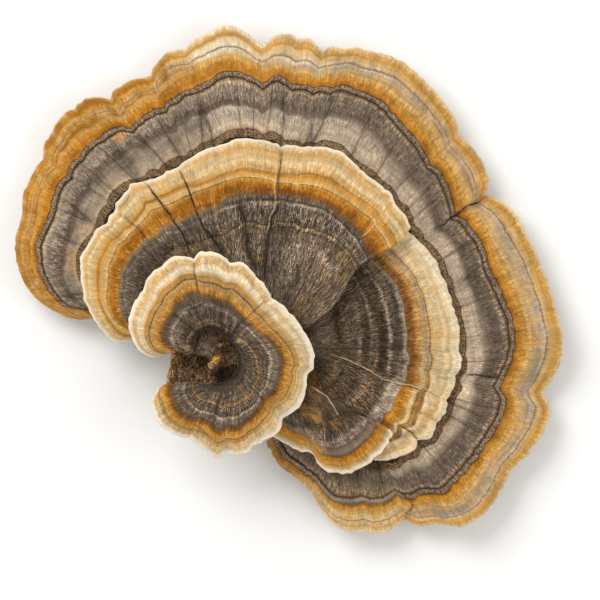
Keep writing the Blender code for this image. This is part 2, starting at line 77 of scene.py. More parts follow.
# The caps. Points are millimetres to the photo's right and up from the centre of the cut.
# outline: a start point of the margin, then each scallop up to the next notch.
# rays: a point of the margin, and the root that it grew from. extend: how far roots are moved in.
# edges: the first and the last end edge, from root to margin, where they bend.
# profile: heights of the upper side along a ray. lifts: what the margin is lifted at its points.
# root_wall: thickness at the root, where it isn't WALL_AT_ROOT.
# folds: the line from the margin inwards, how high one side stands over the other, which side
# that is (1 after the line along the margin, -1 before it), and its reach.
# lines: the zone lines from the root outwards, as points or as millimetres inside the next
# one. crest is the line of the back cap's ridge, and ridge its outer foot.
# creases: the points, and how dark they are from 0 to 1; the dark is painted shade in a groove.
# rims: pale edges of folds, with how bright they are; partly the pale margin of a lobe and partly
# a painted highlight where the edge catches the light. shades: soft strokes with a half width, and
# from -1, darkest, to 1, lightest: painted shade in valleys and beside folds, painted light on
# crests, and the caps' own darker and lighter patches and rings.
# stains: strokes in the same way, in the colour that stain names.
# looks: texts of colours across the zones: zone number, flesh, and the hairs over it. tones: how
# much of each further look there is at points of the margin. tone_blur: how softly they change.
# dark_lines: thin lines along the zones, as zone number, half width in zones and darkness.
# crusts: first and last zone number of rough crust, and how bright it is.
# fray and felt: how torn the zones are in millimetres and how hairy, at each zone line.
# specks: the zone number where the algae end. rim and rim_colour: the pale margin.
# rib_width, rib_height and ribs_end: the ribs of the old part, up to that zone number.
# rows and under_rows: shares of the ray, and how many rows of the mesh lead up to each.
BACK = {
    "seed": 11,
    "outline": [
        (-32.9, 2.6),
        [(-34.9, 1.8), (-37.5, 2.3), (-38.95, 3)],
        [(-40.8, 4), (-43.9, 6.7), (-45.6, 10), (-46.4, 13.5), (-46.4, 16.2), (-45.9, 18.2)],
        [(-45.2, 20.4), (-45.2, 23.3), (-44.05, 26)],
        [(-43, 28.3), (-41.6, 30.1)],
        [(-41.4, 32.5), (-40, 34.75)],
        [(-38.85, 36.8), (-37.6, 38.1), (-36.1, 38.7)],
        [(-34.9, 40), (-33, 40.9), (-29.9, 40.6)],
        [(-28.8, 42.2), (-26, 43.9), (-22.7, 44.5)],
        [(-22.05, 46.4), (-19.7, 48.7), (-16.8, 49.5)],
        [(-14.5, 51.2), (-10.3, 53.2), (-7.5, 53), (-4.9, 51.3), (-3.15, 49.8)],
        [(-1.2, 51.4), (1.4, 51.9), (3.4, 51.1)],
        [(5.4, 50.9), (7.5, 49.1)],
        [(9.3, 49.7), (10.9, 49.2)],
        [(13.2, 49.5), (17.3, 48.6), (21.2, 47.2), (24.7, 44.3), (28, 40.7), (30.8, 37.1), (31.3, 34.2)],
        [(33.2, 32.6), (35.2, 29.8), (36.6, 26.2), (36.05, 23.9)],
        [(38.7, 22.5), (41.3, 20.2), (43.4, 16.5), (45.15, 13.2), (46, 10.5)],
        [(47.1, 8.2), (48.4, 3.6), (49.5, -0.8), (49.2, -5.5), (47.4, -9.2), (46, -11)],
        [(47.5, -14.2), (46.3, -17.7), (43.9, -21.2), (40.2, -24.9)],
        [(39.1, -27.4), (36.2, -31.7), (32, -34.3), (27.2, -34)],
        [(24.5, -34.4), (21.85, -33.4)],
        [(20.2, -34.6), (17.3, -35.75), (14.8, -35.2)],
        [(12.7, -35.5), (9.7, -34.2), (7.3, -31.7), (5.3, -28.4)],
        [(2.7, -25.9), (0.1, -23.9), (-2.6, -19.7)],
    ],
    "rays": [
        ((-32.9, 2.6), (-6, 4.2)), ((-46.4, 13.5), (-5.5, 4.4)), ((-36.1, 38.7), (-5.3, 4.5)),
        ((-10.3, 53.2), (-4, 4.6)), ((10.9, 49.2), (-2, 4.5)), ((31.3, 34.2), (3, 3.2)),
        ((36.05, 23.9), (6, 2)), ((38.7, 22.5), (8, 1)), ((43.4, 16.5), (12.5, -2)),
        ((46, 10.5), (13.2, -3.5)), ((49.5, -0.8), (13.6, -4.8)), ((46, -11), (13.9, -6)),
        ((40.2, -24.9), (14, -7)), ((27.2, -34), (13.8, -8)), ((21.85, -33.4), (13.4, -8.6)),
        ((12.7, -35.5), (12.8, -9)), ((2.7, -25.9), (12.2, -9.2)), ((-2.6, -19.7), (11.6, -9.3)),
    ],
    "profile": [(0.05, 6.2), (0.5, 6.4), (0.7, 6.2), (0.85, 5.6), (1, 4.6)],
    "lifts": [
        ((-32.9, 2.6), -0.6), ((-43.9, 6.7), 0.5), ((-46.4, 13.5), 1.1), ((-44.05, 26), -0.9),
        ((-38.85, 36.8), 0.7), ((-29.9, 40.6), 0.2), ((-22.7, 44.5), -1.1), ((-10.3, 53.2), 1),
        ((-3.15, 49.8), 0), ((7.5, 49.1), -0.9), ((21.2, 47.2), 1), ((31.3, 34.2), 0),
        ((36.05, 23.9), -0.7), ((43.4, 16.5), 0.7), ((46, 10.5), 0.2), ((49.5, -0.8), 1.3), ((46, -11), -1),
        ((43.9, -21.2), 0.5), ((32, -34.3), 1.4), ((21.85, -33.4), -0.7), ((12.7, -35.5), 0.8),
        ((-2.6, -19.7), -1),
    ],
    "folds": [
        ([(36.05, 23.9), (34, 22.2), (31.3, 20.6), (28.4, 18.4)], 1.1, -1, 7),
        ([(21.85, -33.4), (22.6, -31.9), (23.1, -30.4), (21.5, -28.6)], 0.8, 1, 5),
    ],
    "crest": [
        (-33.4, 3.7), (-36.2, 3.9), (-37.5, 4.5), (-38.8, 5.8), (-40.15, 7.6), (-41, 9.3), (-41.7, 11.3),
        (-41.9, 13), (-41.8, 15), (-41.2, 16.7), (-40.4, 18.5), (-39.5, 20), (-38.95, 22.3), (-38.4, 24.6),
        (-37.8, 25.7), (-36.4, 27.5), (-34.9, 29.5), (-33.8, 30.9), (-32.7, 32), (-31.4, 32.9),
        (-29.2, 34.1), (-27.5, 34.9), (-24.9, 35.7), (-23.4, 36.8), (-21.85, 37.7), (-19.7, 39.2),
        (-17.9, 39.8), (-16.6, 41), (-14.7, 41.6), (-13.2, 42.2), (-11.9, 42.9), (-10.55, 44), (-9.5, 44.3),
        (-7.9, 44.3), (-6.6, 44.1), (-5.5, 43.6), (-3.8, 42.9), (-2.3, 42.8), (-1.4, 43.1), (-1, 43.9),
        (0.1, 43.4), (1.4, 42.7), (2.7, 42.05), (3.6, 42.4), (6, 41.7), (7.3, 41.7), (10.15, 42.05),
        (11.9, 41.8), (13.4, 41.3), (15.2, 40.5), (16.7, 39.65), (18.4, 38.3), (19.5, 37), (20.6, 35.65),
        (21.9, 34.3), (23.2, 32.8), (24.1, 31.7), (24.7, 30.2), (25.8, 28.7), (27.1, 27.6), (28, 26.3),
        (28.6, 24.75), (29.3, 23.2), (29.5, 21.5), (30, 20.3), (30.3, 19.3), (31.7, 18.8), (32.5, 17.5),
        (33.4, 16.65), (34.2, 15.5), (34.9, 14.15), (35.5, 12.6), (35.7, 11.5), (36.2, 9.9), (36.8, 8.6),
        (37.5, 7.4), (38.1, 5.9), (38.7, 4.35), (39.4, 2.8), (40.05, 1.5), (40.15, -0.1), (40.35, -1.6),
        (40, -4.4), (39.1, -6.8), (38.3, -8.1), (38.05, -9.4), (38.05, -11), (38.7, -12.3), (38.4, -14),
        (37.4, -16.2), (36.1, -18.6), (34.3, -21), (32.8, -23.2), (30.9, -25.1), (28, -27.8), (26.7, -28),
        (25.4, -27.8), (23.9, -28.4), (22.1, -28.85), (20.6, -28.2), (19.5, -28.5), (18, -29.3),
        (16.2, -29.6), (14.9, -29.4), (13.8, -29.2), (12.5, -29.5), (10.8, -29.4), (9.3, -28.85),
        (7.95, -27.5), (4.6, -24.4),
    ],
    "lines": [
        1.3,
        [
            (-35.7, 13), (-34.5, 15.4), (-33.2, 16.7), (-32.5, 17.8), (-32, 19.1), (-31.2, 21.1),
            (-30.1, 22.8), (-29, 24.4), (-27.7, 25.5), (-26.2, 26.2), (-24.9, 26.3), (-23.8, 26.7),
            (-21.85, 28), (-19.9, 29.2), (-18.1, 30.1), (-16, 31), (-13.8, 32.5), (-11.6, 33.3),
            (-10.1, 34.2), (-8.4, 34.9), (-6.6, 35.1), (-5.1, 35.1), (-3.4, 34.5), (0.1, 33.8), (1.9, 33.1),
            (6.7, 32.7), (9.1, 32.85), (10.15, 32.6), (11.2, 31.9), (12.1, 30.9), (13.4, 29.5), (15, 28.75),
            (16.3, 27.9), (17.3, 26.7), (18.8, 25.4), (19.9, 24.5), (20.6, 23), (21.2, 22.1), (22.3, 21.5),
            (23, 20.2), (23.4, 18.4), (25.2, 16.9), (26.4, 15), (27.8, 13.4), (28.8, 11.9), (29.4, 9.6),
            (30.2, 8.4), (30.6, 6.2), (31.5, 4.3), (31.8, 2.1), (32.2, 0.1), (32.6, -1.2), (32.5, -2.7),
            (32.3, -4.2), (32.7, -6), (32.6, -7.3), (31.8, -8.1), (31.9, -9.9), (30.9, -11.5), (30.35, -13),
            (30, -15.1), (29, -16.3), (28.2, -18), (27.3, -19.7), (25.5, -20.3), (24.6, -20.8),
            (24.2, -22.2), (22.65, -22.7), (21.1, -24), (19.2, -24.35), (17.8, -24.05), (16.5, -23.9),
            (8, -18),
        ],
        [
            (-37.9, 9), (-37.2, 12.5), (-35.5, 19.2), (-32.2, 25.9), (-27.5, 30.2), (-24.2, 31.6),
            (-18.1, 34.8), (-16, 36.6), (-11.6, 38.6), (-8, 39.2), (-5, 38.9), (1.9, 37.7), (5.8, 37.1),
            (10.15, 37), (12.3, 36.4), (14.5, 35.1), (16.7, 33.1), (18.7, 30), (23.1, 25.1), (25.4, 21.4),
            (30.1, 14.7), (31.8, 10.7), (34.2, 4), (34.9, 0.2), (35.4, -7.2), (33.75, -11), (31.5, -16.6),
            (28.3, -20.4), (23.2, -23.8), (19, -25.6), (12, -24.5),
        ],
        "crest",
        "ridge",
        [
            (-43.5, 15.8), (-41.7, 24.4), (-36.7, 33.1), (-30.5, 36.9), (-23.8, 40.9), (-18.8, 44.3),
            (-15.4, 46.3), (-10.4, 48.1), (-7.1, 48), (-3.1, 46.3), (0, 46.4), (8, 45.2), (11.7, 45.4),
            (16.7, 43.9), (20.8, 41.5), (24.8, 37.8), (27.8, 34.2), (30.1, 30.1), (32.1, 26.5),
            (33.5, 22.8), (35.9, 19.3), (37.1, 17.4), (38.2, 14.9), (40.5, 11.1), (41.1, 9), (42.5, 6.3),
            (43.4, 3), (44, 1.1), (44.2, -4), (43.1, -7.7), (41.5, -10.5), (42.2, -12.7), (40.7, -18.6),
            (36.5, -23.8), (33, -29), (30, -31),
        ],
        [
            (-35.8, 36), (-34, 36.7), (-32.7, 37.7), (-31.4, 38), (-28.8, 38.35), (-26.2, 40.2),
            (-19.7, 45.5), (-16.6, 46.5), (-10.3, 49.35), (-8.8, 49.5), (-6, 48.7), (-4, 47.2),
            (-3.1, 46.85), (-2.05, 47.4), (0.5, 48), (3.6, 47), (6.45, 46.2), (8, 46), (10.15, 46.5),
            (13.4, 46.2), (16.7, 45.3), (20.1, 44.1), (22.3, 42.4), (24.7, 40.1), (27.1, 37.2),
            (28.9, 34.8), (29.5, 33), (31.3, 30.6), (33.4, 27.6), (34.1, 25.8), (34.3, 24.1), (35.9, 21.5),
            (37.3, 20.6), (38.2, 19.35), (39.2, 17.8), (40.15, 16.3), (41.9, 13.6), (43.6, 9.5),
            (45.15, 5.3), (46.3, 1.1), (46.7, -2), (45.7, -6.4), (43.4, -10.5), (43.5, -11.8),
            (44.4, -12.9), (44.6, -14.4), (42.8, -18.6), (39.8, -22.5), (38.05, -25.1), (34, -31),
            (31, -32.4), (28, -32.9), (25, -32.9), (23, -32.5), (15.6, -33.4), (12.5, -33.4), (10.3, -32.8),
            (7.95, -31.2),
        ],
    ],
    "creases": [
        ([(-17.9, 39.8), (-16.6, 35.5), (-15.5, 31.2)], 0.55),
        ([(-19.9, 34.9), (-18, 30)], 0.3),
        ([(-35.1, 26.4), (-33.2, 24.8), (-30.9, 23.1)], 0.6),
        ([(-44.5, 20.7), (-40.8, 19.4)], 0.35),
        ([(2.6, 42), (2.2, 38.5)], 0.5),
        ([(7.3, 41.7), (6.7, 34.5)], 0.4),
        ([(8, 49), (8, 46)], 0.4),
        ([(41.2, 14.35), (39.2, 13)], 0.45),
        (
            [(36.05, 23.9), (35.3, 22.9), (34, 22.2), (32.3, 21.3), (30.6, 20), (28.4, 18.4), (27.3, 18)],
            0.9,
        ),
        ([(32.2, -7.7), (34.1, -7.9), (37.6, -8.3), (38.3, -8.1)], 0.9),
        (
            [
                (20.2, -28.5), (21.5, -28.8), (22.6, -29.4), (23.1, -30.4), (23.2, -31.2), (22.1, -32.3),
                (21.85, -33.4),
            ],
            0.7,
        ),
    ],
    "rims": [
        ([(36.3, 24.1), (34, 22.6), (31.3, 21), (29.6, 19.6)], 0.5),
        ([(20, -28.2), (21.6, -28.4), (23, -29.3), (23.6, -30.6), (23.4, -31.6), (22.6, -32.4)], 0.6),
    ],
    "shades": [
        ([(-29.6, 32.8), (-27.6, 30.4), (-25, 27.4)], 0.9, -0.5),
        ([(-31.5, 25.5), (-28.5, 27.8), (-25, 30)], 1.4, -0.25),
        ([(30.5, -4), (32.4, -8), (31.6, -12)], 1.6, 0.45),
        ([(-2, -19.5), (4, -23.8), (8, -25.4)], 1.6, -0.25),
    ],
    "stains": [([(-36.6, 13.2), (-35.9, 11)], 1, 0.5), ([(-28.9, 33.4), (-27.2, 34.1)], 0.5, 0.9)],
    "stain": "ochre",
    "looks": (
        # Left.
        """0.9 crust umber, 1 near_black umber, 1.5 umber crust, 1.97 near_black umber, 2.02 straw crust,
        2.1 bone beige, 2.35 beige fibre_grey, 2.65 fibre_grey grey, 2.95 fibre_grey grey,
        3.1 grey dark_grey, 3.3 dark_grey grey, 3.5 grey fibre_grey, 3.75 fibre_grey grey,
        3.86 beige fibre_grey, 3.92 crust beige, 3.97 rust umber, 4.02 umber umber, 4.5 beige grey,
        4.97 umber rust, 5.08 deep_orange orange, 5.3 orange deep_orange, 5.6 orange ochre,
        5.85 ochre tan, 6 tan ochre, 6.2 orange deep_orange, 6.7 orange ochre, 6.97 tan ochre,
        7.06 straw tan, 7.2 ochre tan, 7.5 orange ochre, 7.9 orange deep_orange, 8.3 tan warm_cream""",
        # Right.
        """0.9 crust umber, 1 near_black umber, 1.5 umber crust, 1.97 near_black umber, 2.02 straw crust,
        2.08 bone beige, 2.3 bone beige, 2.65 bone beige, 2.95 beige fibre_grey, 3.08 fibre_grey grey,
        3.2 grey dark_grey, 3.35 dark_grey grey, 3.55 grey dark_grey, 3.75 crust grey, 3.86 crust beige,
        3.93 crust rust, 3.98 umber rust, 4.5 fibre_grey grey, 4.97 umber rust, 5.1 orange deep_orange,
        5.3 orange ochre, 5.6 ochre tan, 5.88 tan warm_cream, 6.05 beige tan, 6.5 beige straw,
        6.92 beige bone, 7.05 straw beige, 7.2 warm_cream tan, 7.5 tan ochre, 7.72 ochre tan,
        7.87 tan warm_cream, 7.95 cream warm_cream""",
        # Low end.
        """0.9 crust umber, 1 near_black umber, 1.5 umber crust, 2 umber charcoal, 2.3 crust umber,
        2.7 crust fibre_grey, 3 grey crust, 3.4 grey crust, 3.8 crust straw, 3.98 crust umber,
        4.2 fibre_grey crust, 4.5 fibre_grey grey, 4.97 fibre_grey crust, 5.1 grey crust,
        5.18 deep_orange rust, 5.35 orange ochre, 5.6 ochre tan, 5.95 warm_cream tan,
        6.5 warm_cream cream, 6.9 warm_cream tan, 7.05 tan straw, 7.2 warm_cream cream,
        7.5 tan warm_cream, 7.8 cream warm_cream, 8 cream rim_white""",
        # Pale stretch at the top.
        """0.9 crust umber, 1 near_black umber, 1.5 umber crust, 1.97 near_black umber, 2.02 straw crust,
        2.1 bone beige, 2.3 bone cream, 2.5 bone fibre_grey, 2.75 fibre_grey bone, 2.94 fibre_grey bone,
        3.05 grey dark_grey, 3.2 dark_grey grey, 3.4 grey fibre_grey, 3.7 grey fibre_grey,
        3.84 beige straw, 3.92 crust straw, 3.98 umber rust, 4.5 beige grey, 4.97 umber rust,
        5.08 ochre orange, 5.2 orange deep_orange, 5.5 orange ochre, 5.75 ochre tan, 5.95 warm_cream tan,
        6.3 cream warm_cream, 6.85 cream rim_white, 7.03 beige straw, 7.15 cream rim_white,
        7.4 cream warm_cream, 7.58 tan ochre, 7.75 warm_cream tan, 7.92 cream rim_white""",
    ),
    "tones": [
        ((-32.9, 2.6), (0.1, 0, 0)), ((-46.4, 13.5), (0, 0, 0)), ((-22.7, 44.5), (0.1, 0, 0)),
        ((-17.5, 49.3), (0.2, 0, 0.2)), ((-15, 50.8), (0.3, 0, 1)), ((-5, 51.4), (0.4, 0, 1)),
        ((-3.15, 49.8), (0.8, 0, 0.5)), ((1.4, 51.9), (0.6, 0, 0.45)), ((7.5, 49.1), (1, 0, 0.4)),
        ((21.2, 47.2), (0.8, 0, 0.1)), ((36.05, 23.9), (0.7, 0, 0)), ((46, 10.5), (1, 0, 0)),
        ((46, -11), (1, 0, 0)), ((36.2, -31.7), (0.9, 0, 0)), ((27.2, -34), (0.9, 0, 0)),
        ((22.5, -33.6), (0.7, 0.3, 0)), ((21, -34.2), (0.4, 0.9, 0)), ((12.7, -35.5), (0.5, 1, 0)),
        ((6.4, -30.6), (0.1, 0.8, 0)), ((2.7, -25.9), (0, 0.1, 0)),
    ],
    "dark_lines": [
        (2.0, 0.03, 0.4), (3.97, 0.03, 0.5), (5.0, 0.06, 0.35), (7.0, 0.07, 0.5), (7.55, 0.05, 0.15),
    ],
    "crusts": ((1.05, 1.95, (1.55, 1.3, 0.98)), (4.08, 4.92, (1.4, 1.3, 1.15))),
    "fray": (0.3, 0.3, 0.25, 0.6, 0.2, 0.2, 0.5, 0.2, 0.15),
    "felt": (0.8, 0.8, 0.35, 0.65, 0.7, 0.35, 0.25, 0.25, 0.2), "specks": 2.0, "rim": 0.2,
    "rim_colour": "warm_cream", "rib_width": 4.0, "rib_height": 0.14, "ribs_end": 4.0,
    "rows": ((0.05, 0), (0.55, 7), (0.7, 8), (0.98, 22), (1.3, 16), (2.0, 24)),
    "under_rows": ((0.05, 0), (0.5, 4), (1.0, 7), (2.0, 9)),
}

RIGHT = {
    "seed": 31,
    "outline": [
        (16.5, 20.3),
        [(19.5, 19.6), (22.6, 17.2), (25.2, 14.7), (27.5, 11.9), (28.1, 9.7)],
        [(29.2, 7.8), (30.3, 4.1), (31.4, 0.6), (31.4, -2.3), (31.2, -3.7)],
        [(31.8, -5.3), (31.4, -7.2), (30.6, -8)],
        [(30.6, -9.6), (29.9, -11.2), (29.2, -12.3)],
        [(29.2, -13.9), (28.6, -14.9), (27.6, -16.1)],
        [(27.1, -17.6), (26.2, -18.9), (24.1, -19.4)],
        [(23.7, -21), (21.7, -22), (18.6, -22.8), (15.5, -22.6), (12, -21)],
    ],
    "rays": [
        ((16.5, 20.3), (5.5, 4.5)), ((22.6, 17.2), (6, 2.5)), ((28.1, 9.7), (6.5, 0)),
        ((31.4, -2.3), (6.5, -3)), ((29.2, -12.3), (6.5, -4.5)), ((24.1, -19.4), (6.8, -6)),
        ((15.5, -22.6), (7, -7.5)), ((12, -21), (6.5, -8.2)),
    ],
    "extend": 2.4, "profile": [(0, 9), (0.4, 8.95), (0.8, 8.5), (1, 8)],
    "lifts": [
        ((16.5, 20.3), 0), ((28.1, 9.7), 0.1), ((31.4, -2.3), 0), ((24.1, -19.4), 0.1), ((12, -21), 0),
    ],
    "folds": [([(29.2, -12.3), (25.5, -10.7), (17.8, -8.4), (11.4, -5.3)], 0.8, 1, 7)],
    "lines": [
        [(11, 9.5), (12.6, 6.5), (13.6, 3), (14.1, -1.6), (13.6, -5.5), (13, -7.4), (11.5, -10.5)],
        [
            (14.5, 11.5), (16.5, 8.5), (18, 5), (19.3, 0), (19.4, -4), (18.9, -7.8), (17.6, -9.6),
            (15.5, -13.5),
        ],
        [
            (17, 11.5), (19.5, 9), (20.8, 6.5), (21.8, 4), (22, 1), (22.1, -3), (21.9, -9.2), (20.9, -10.6),
            (19.6, -13.6), (17.5, -16.5),
        ],
        [
            (18.8, 13.3), (21, 11.5), (22.5, 9.8), (23.5, 8), (24.3, 6), (25, 3.6), (25.2, 0), (25.3, -6),
            (25, -10.2), (23.2, -11.2), (22.6, -13.6), (21, -16.4),
        ],
        [
            (22.3, 11.3), (24, 9), (25.2, 6.5), (25.9, 3.6), (26.5, 1), (26.7, -2), (26.3, -8), (26, -10.7),
            (25.2, -11.9), (24.5, -14.3), (23, -17),
        ],
        [
            (22, 15.2), (23.7, 13), (24.6, 11.5), (26.4, 8.8), (27.5, 6.3), (28.5, 3.5), (29.2, 1),
            (29.3, -3), (29, -8), (27.9, -11.6), (27.3, -13.6), (25.6, -16.6),
        ],
    ],
    "creases": [
        (
            [(8, -4), (11.4, -5.3), (14.9, -6.9), (17.8, -8.6), (21.7, -9.7), (25.5, -10.6), (29.1, -12.2)],
            0.7,
        ),
        ([(27.15, -3.8), (31.1, -3.9)], 0.55),
        ([(26.9, -8), (28.9, -8.5), (30.5, -8.1)], 0.6),
        ([(23.4, -14.1), (25, -14.8), (26.3, -15.4), (27.6, -16.1)], 0.75),
        ([(21, -16.6), (22.6, -17.6), (24.1, -19.4)], 0.8),
    ],
    "rims": [
        ([(8, -4), (11.4, -5.1), (14.9, -6.7), (17.8, -8.4), (21.7, -9.5), (25.5, -10.4), (29.1, -12)], 1),
        ([(23.2, -14.15), (22.85, -15.7), (22.5, -17), (21.7, -17.7), (20.35, -18.3), (19.8, -18.5)], 0.8),
        ([(27.2, -4.2), (31.1, -4.3)], 0.5),
        ([(26.9, -8.4), (30.4, -8.5)], 0.5),
        ([(24, -14.9), (27.2, -16.3)], 0.6),
    ],
    "shades": [
        # Painted shadow of the middle cap's edge, near this cap's root.
        ([(9.4, 3.6), (10.3, 0), (11.6, -3.6)], 0.6, -0.6),
        ([(11, 1.6), (11.8, -0.6), (11.9, -3.4)], 0.5, 0.4),
        ([(13.4, 0.2), (14, -2.8), (14, -5.9)], 0.4, 0.75),
        ([(14.9, 2.4), (15.4, -1.6), (15.2, -5.6)], 0.5, -0.5),
        ([(15.2, 4.4), (16.7, -0.8), (16.9, -3.4), (16.7, -6), (16.3, -7)], 0.4, 0.8),
        ([(17.6, 3), (18, 0.8), (18.1, -3), (17.7, -6.6)], 0.4, -0.6),
        ([(16.8, 8), (18.6, 4.4), (19.3, -2), (18.9, -7.4)], 0.4, 0.7),
        ([(18.6, 8.6), (20.2, 3.5), (20.6, -2), (20.2, -8)], 0.35, -0.5),
        ([(19.6, 7.8), (21.4, 2.5), (21.8, -3), (21.6, -8.4)], 0.3, 0.55),
        ([(9.4, -6.4), (8.6, -8), (7.4, -9.2)], 0.5, 0.5),
        ([(11, -7), (10.3, -8.6), (8.9, -9.9), (7.9, -10.4)], 0.3, -0.9),
        ([(13, -7.4), (11.8, -10.2), (10.4, -11.8)], 0.7, -0.4),
        ([(16.3, -7.9), (15.8, -9.2), (14.6, -10.7), (12.8, -12.4)], 0.4, 0.6),
        ([(17.7, -9), (16.8, -11.2), (15, -13.6)], 0.6, -0.45),
        ([(19.4, -9.2), (18.5, -11.2), (17.6, -12.8), (16.3, -14.6)], 0.4, 0.8),
        ([(20.8, -10.2), (20.1, -12.5), (18.9, -15.2)], 0.7, 0.45),
        ([(11.6, -14.4), (14.2, -14.8), (17.2, -15.9), (19, -16.8)], 0.45, -0.8),
        ([(20, -18.4), (21.6, -18.6)], 0.6, -0.7),
    ],
    "stains": [
        ([(9.9, -5.4), (9.7, -7.4), (8.2, -9.4)], 0.5, 0.7),
        ([(15.4, -12), (13.2, -14), (11.4, -14.6)], 0.7, 0.4),
        ([(16.4, 11.2), (18.8, 9.4)], 1.1, 0.4),
    ],
    "stain": "olive",
    "looks": (
        # Most of the cap. Near black at zone 0.62, near the root, is a painted shadow of the middle cap's
        # edge.
        """0 crust umber, 0.4 grey dark_grey, 0.62 near_black umber, 0.75 umber dark_grey,
        0.93 dark_grey charcoal, 1 grey dark_grey, 1.08 charcoal umber, 1.3 dark_grey charcoal,
        1.36 grey dark_grey, 1.45 charcoal umber, 1.62 umber charcoal, 1.88 charcoal umber,
        1.97 grey dark_grey, 2.05 grey dark_grey, 2.15 charcoal dark_grey, 2.45 grey dark_grey,
        2.62 charcoal dark_grey, 2.8 grey dark_grey, 2.93 fibre_grey grey, 3.03 crust rust,
        3.15 rust deep_orange, 3.35 deep_orange rust, 3.6 orange straw, 3.88 straw tan, 4.05 straw beige,
        4.5 straw beige, 4.68 rust straw, 4.8 tan straw, 4.95 warm_cream tan, 5.3 warm_cream cream,
        6 cream warm_cream, 6.8 cream rim_white""",
        # Low end.
        """0 near_black umber, 0.6 dark_grey umber, 0.85 crust dark_grey, 1 rust crust,
        1.15 umber dark_grey, 1.4 grey crust, 1.55 rust crust, 1.7 umber crust, 1.95 crust grey,
        2.05 crust rust, 2.2 grey crust, 2.45 fibre_grey grey, 2.9 beige fibre_grey, 3 straw rust,
        3.1 orange deep_orange, 3.5 orange ochre, 3.75 ochre tan, 3.95 cream warm_cream,
        4.15 tan warm_cream, 4.3 rust ochre, 4.6 straw ochre, 4.9 rust ochre, 5.05 cream warm_cream,
        5.5 warm_cream cream, 5.9 tan warm_cream, 6.2 cream warm_cream, 7 cream rim_white""",
    ),
    "tones": [
        ((16.5, 20.3), (0, 0, 0)), ((31.4, -2.3), (0, 0, 0)), ((31, -7.6), (0.15, 0, 0)),
        ((29.4, -12), (0.3, 0, 0)), ((29.1, -12.9), (1, 0, 0)), ((12, -21), (1, 0, 0)),
    ],
    "tone_blur": 0.8,
    "dark_lines": [(4.25, 0.08, 0.25), (4.68, 0.1, 0.3), (5.45, 0.05, 0.15), (6.1, 0.05, 0.2)],
    "fray": (0.3, 0.3, 0.3, 0.2, 0.2, 0.2, 0.25, 0.3), "felt": (1.9, 1.8, 1.5, 0.8, 0.3, 0.3, 0.2, 0.2),
    "specks": 2.0, "rim": 0.4, "rim_colour": "cream", "rib_width": 3.6, "rib_height": 0.14, "ribs_end": 3.2,
    "column_scale": 0.85, "rows": ((0.0, 0), (0.2, 6), (1.0, 84)), "under_rows": ((0.0, 0), (1.0, 18)),
}

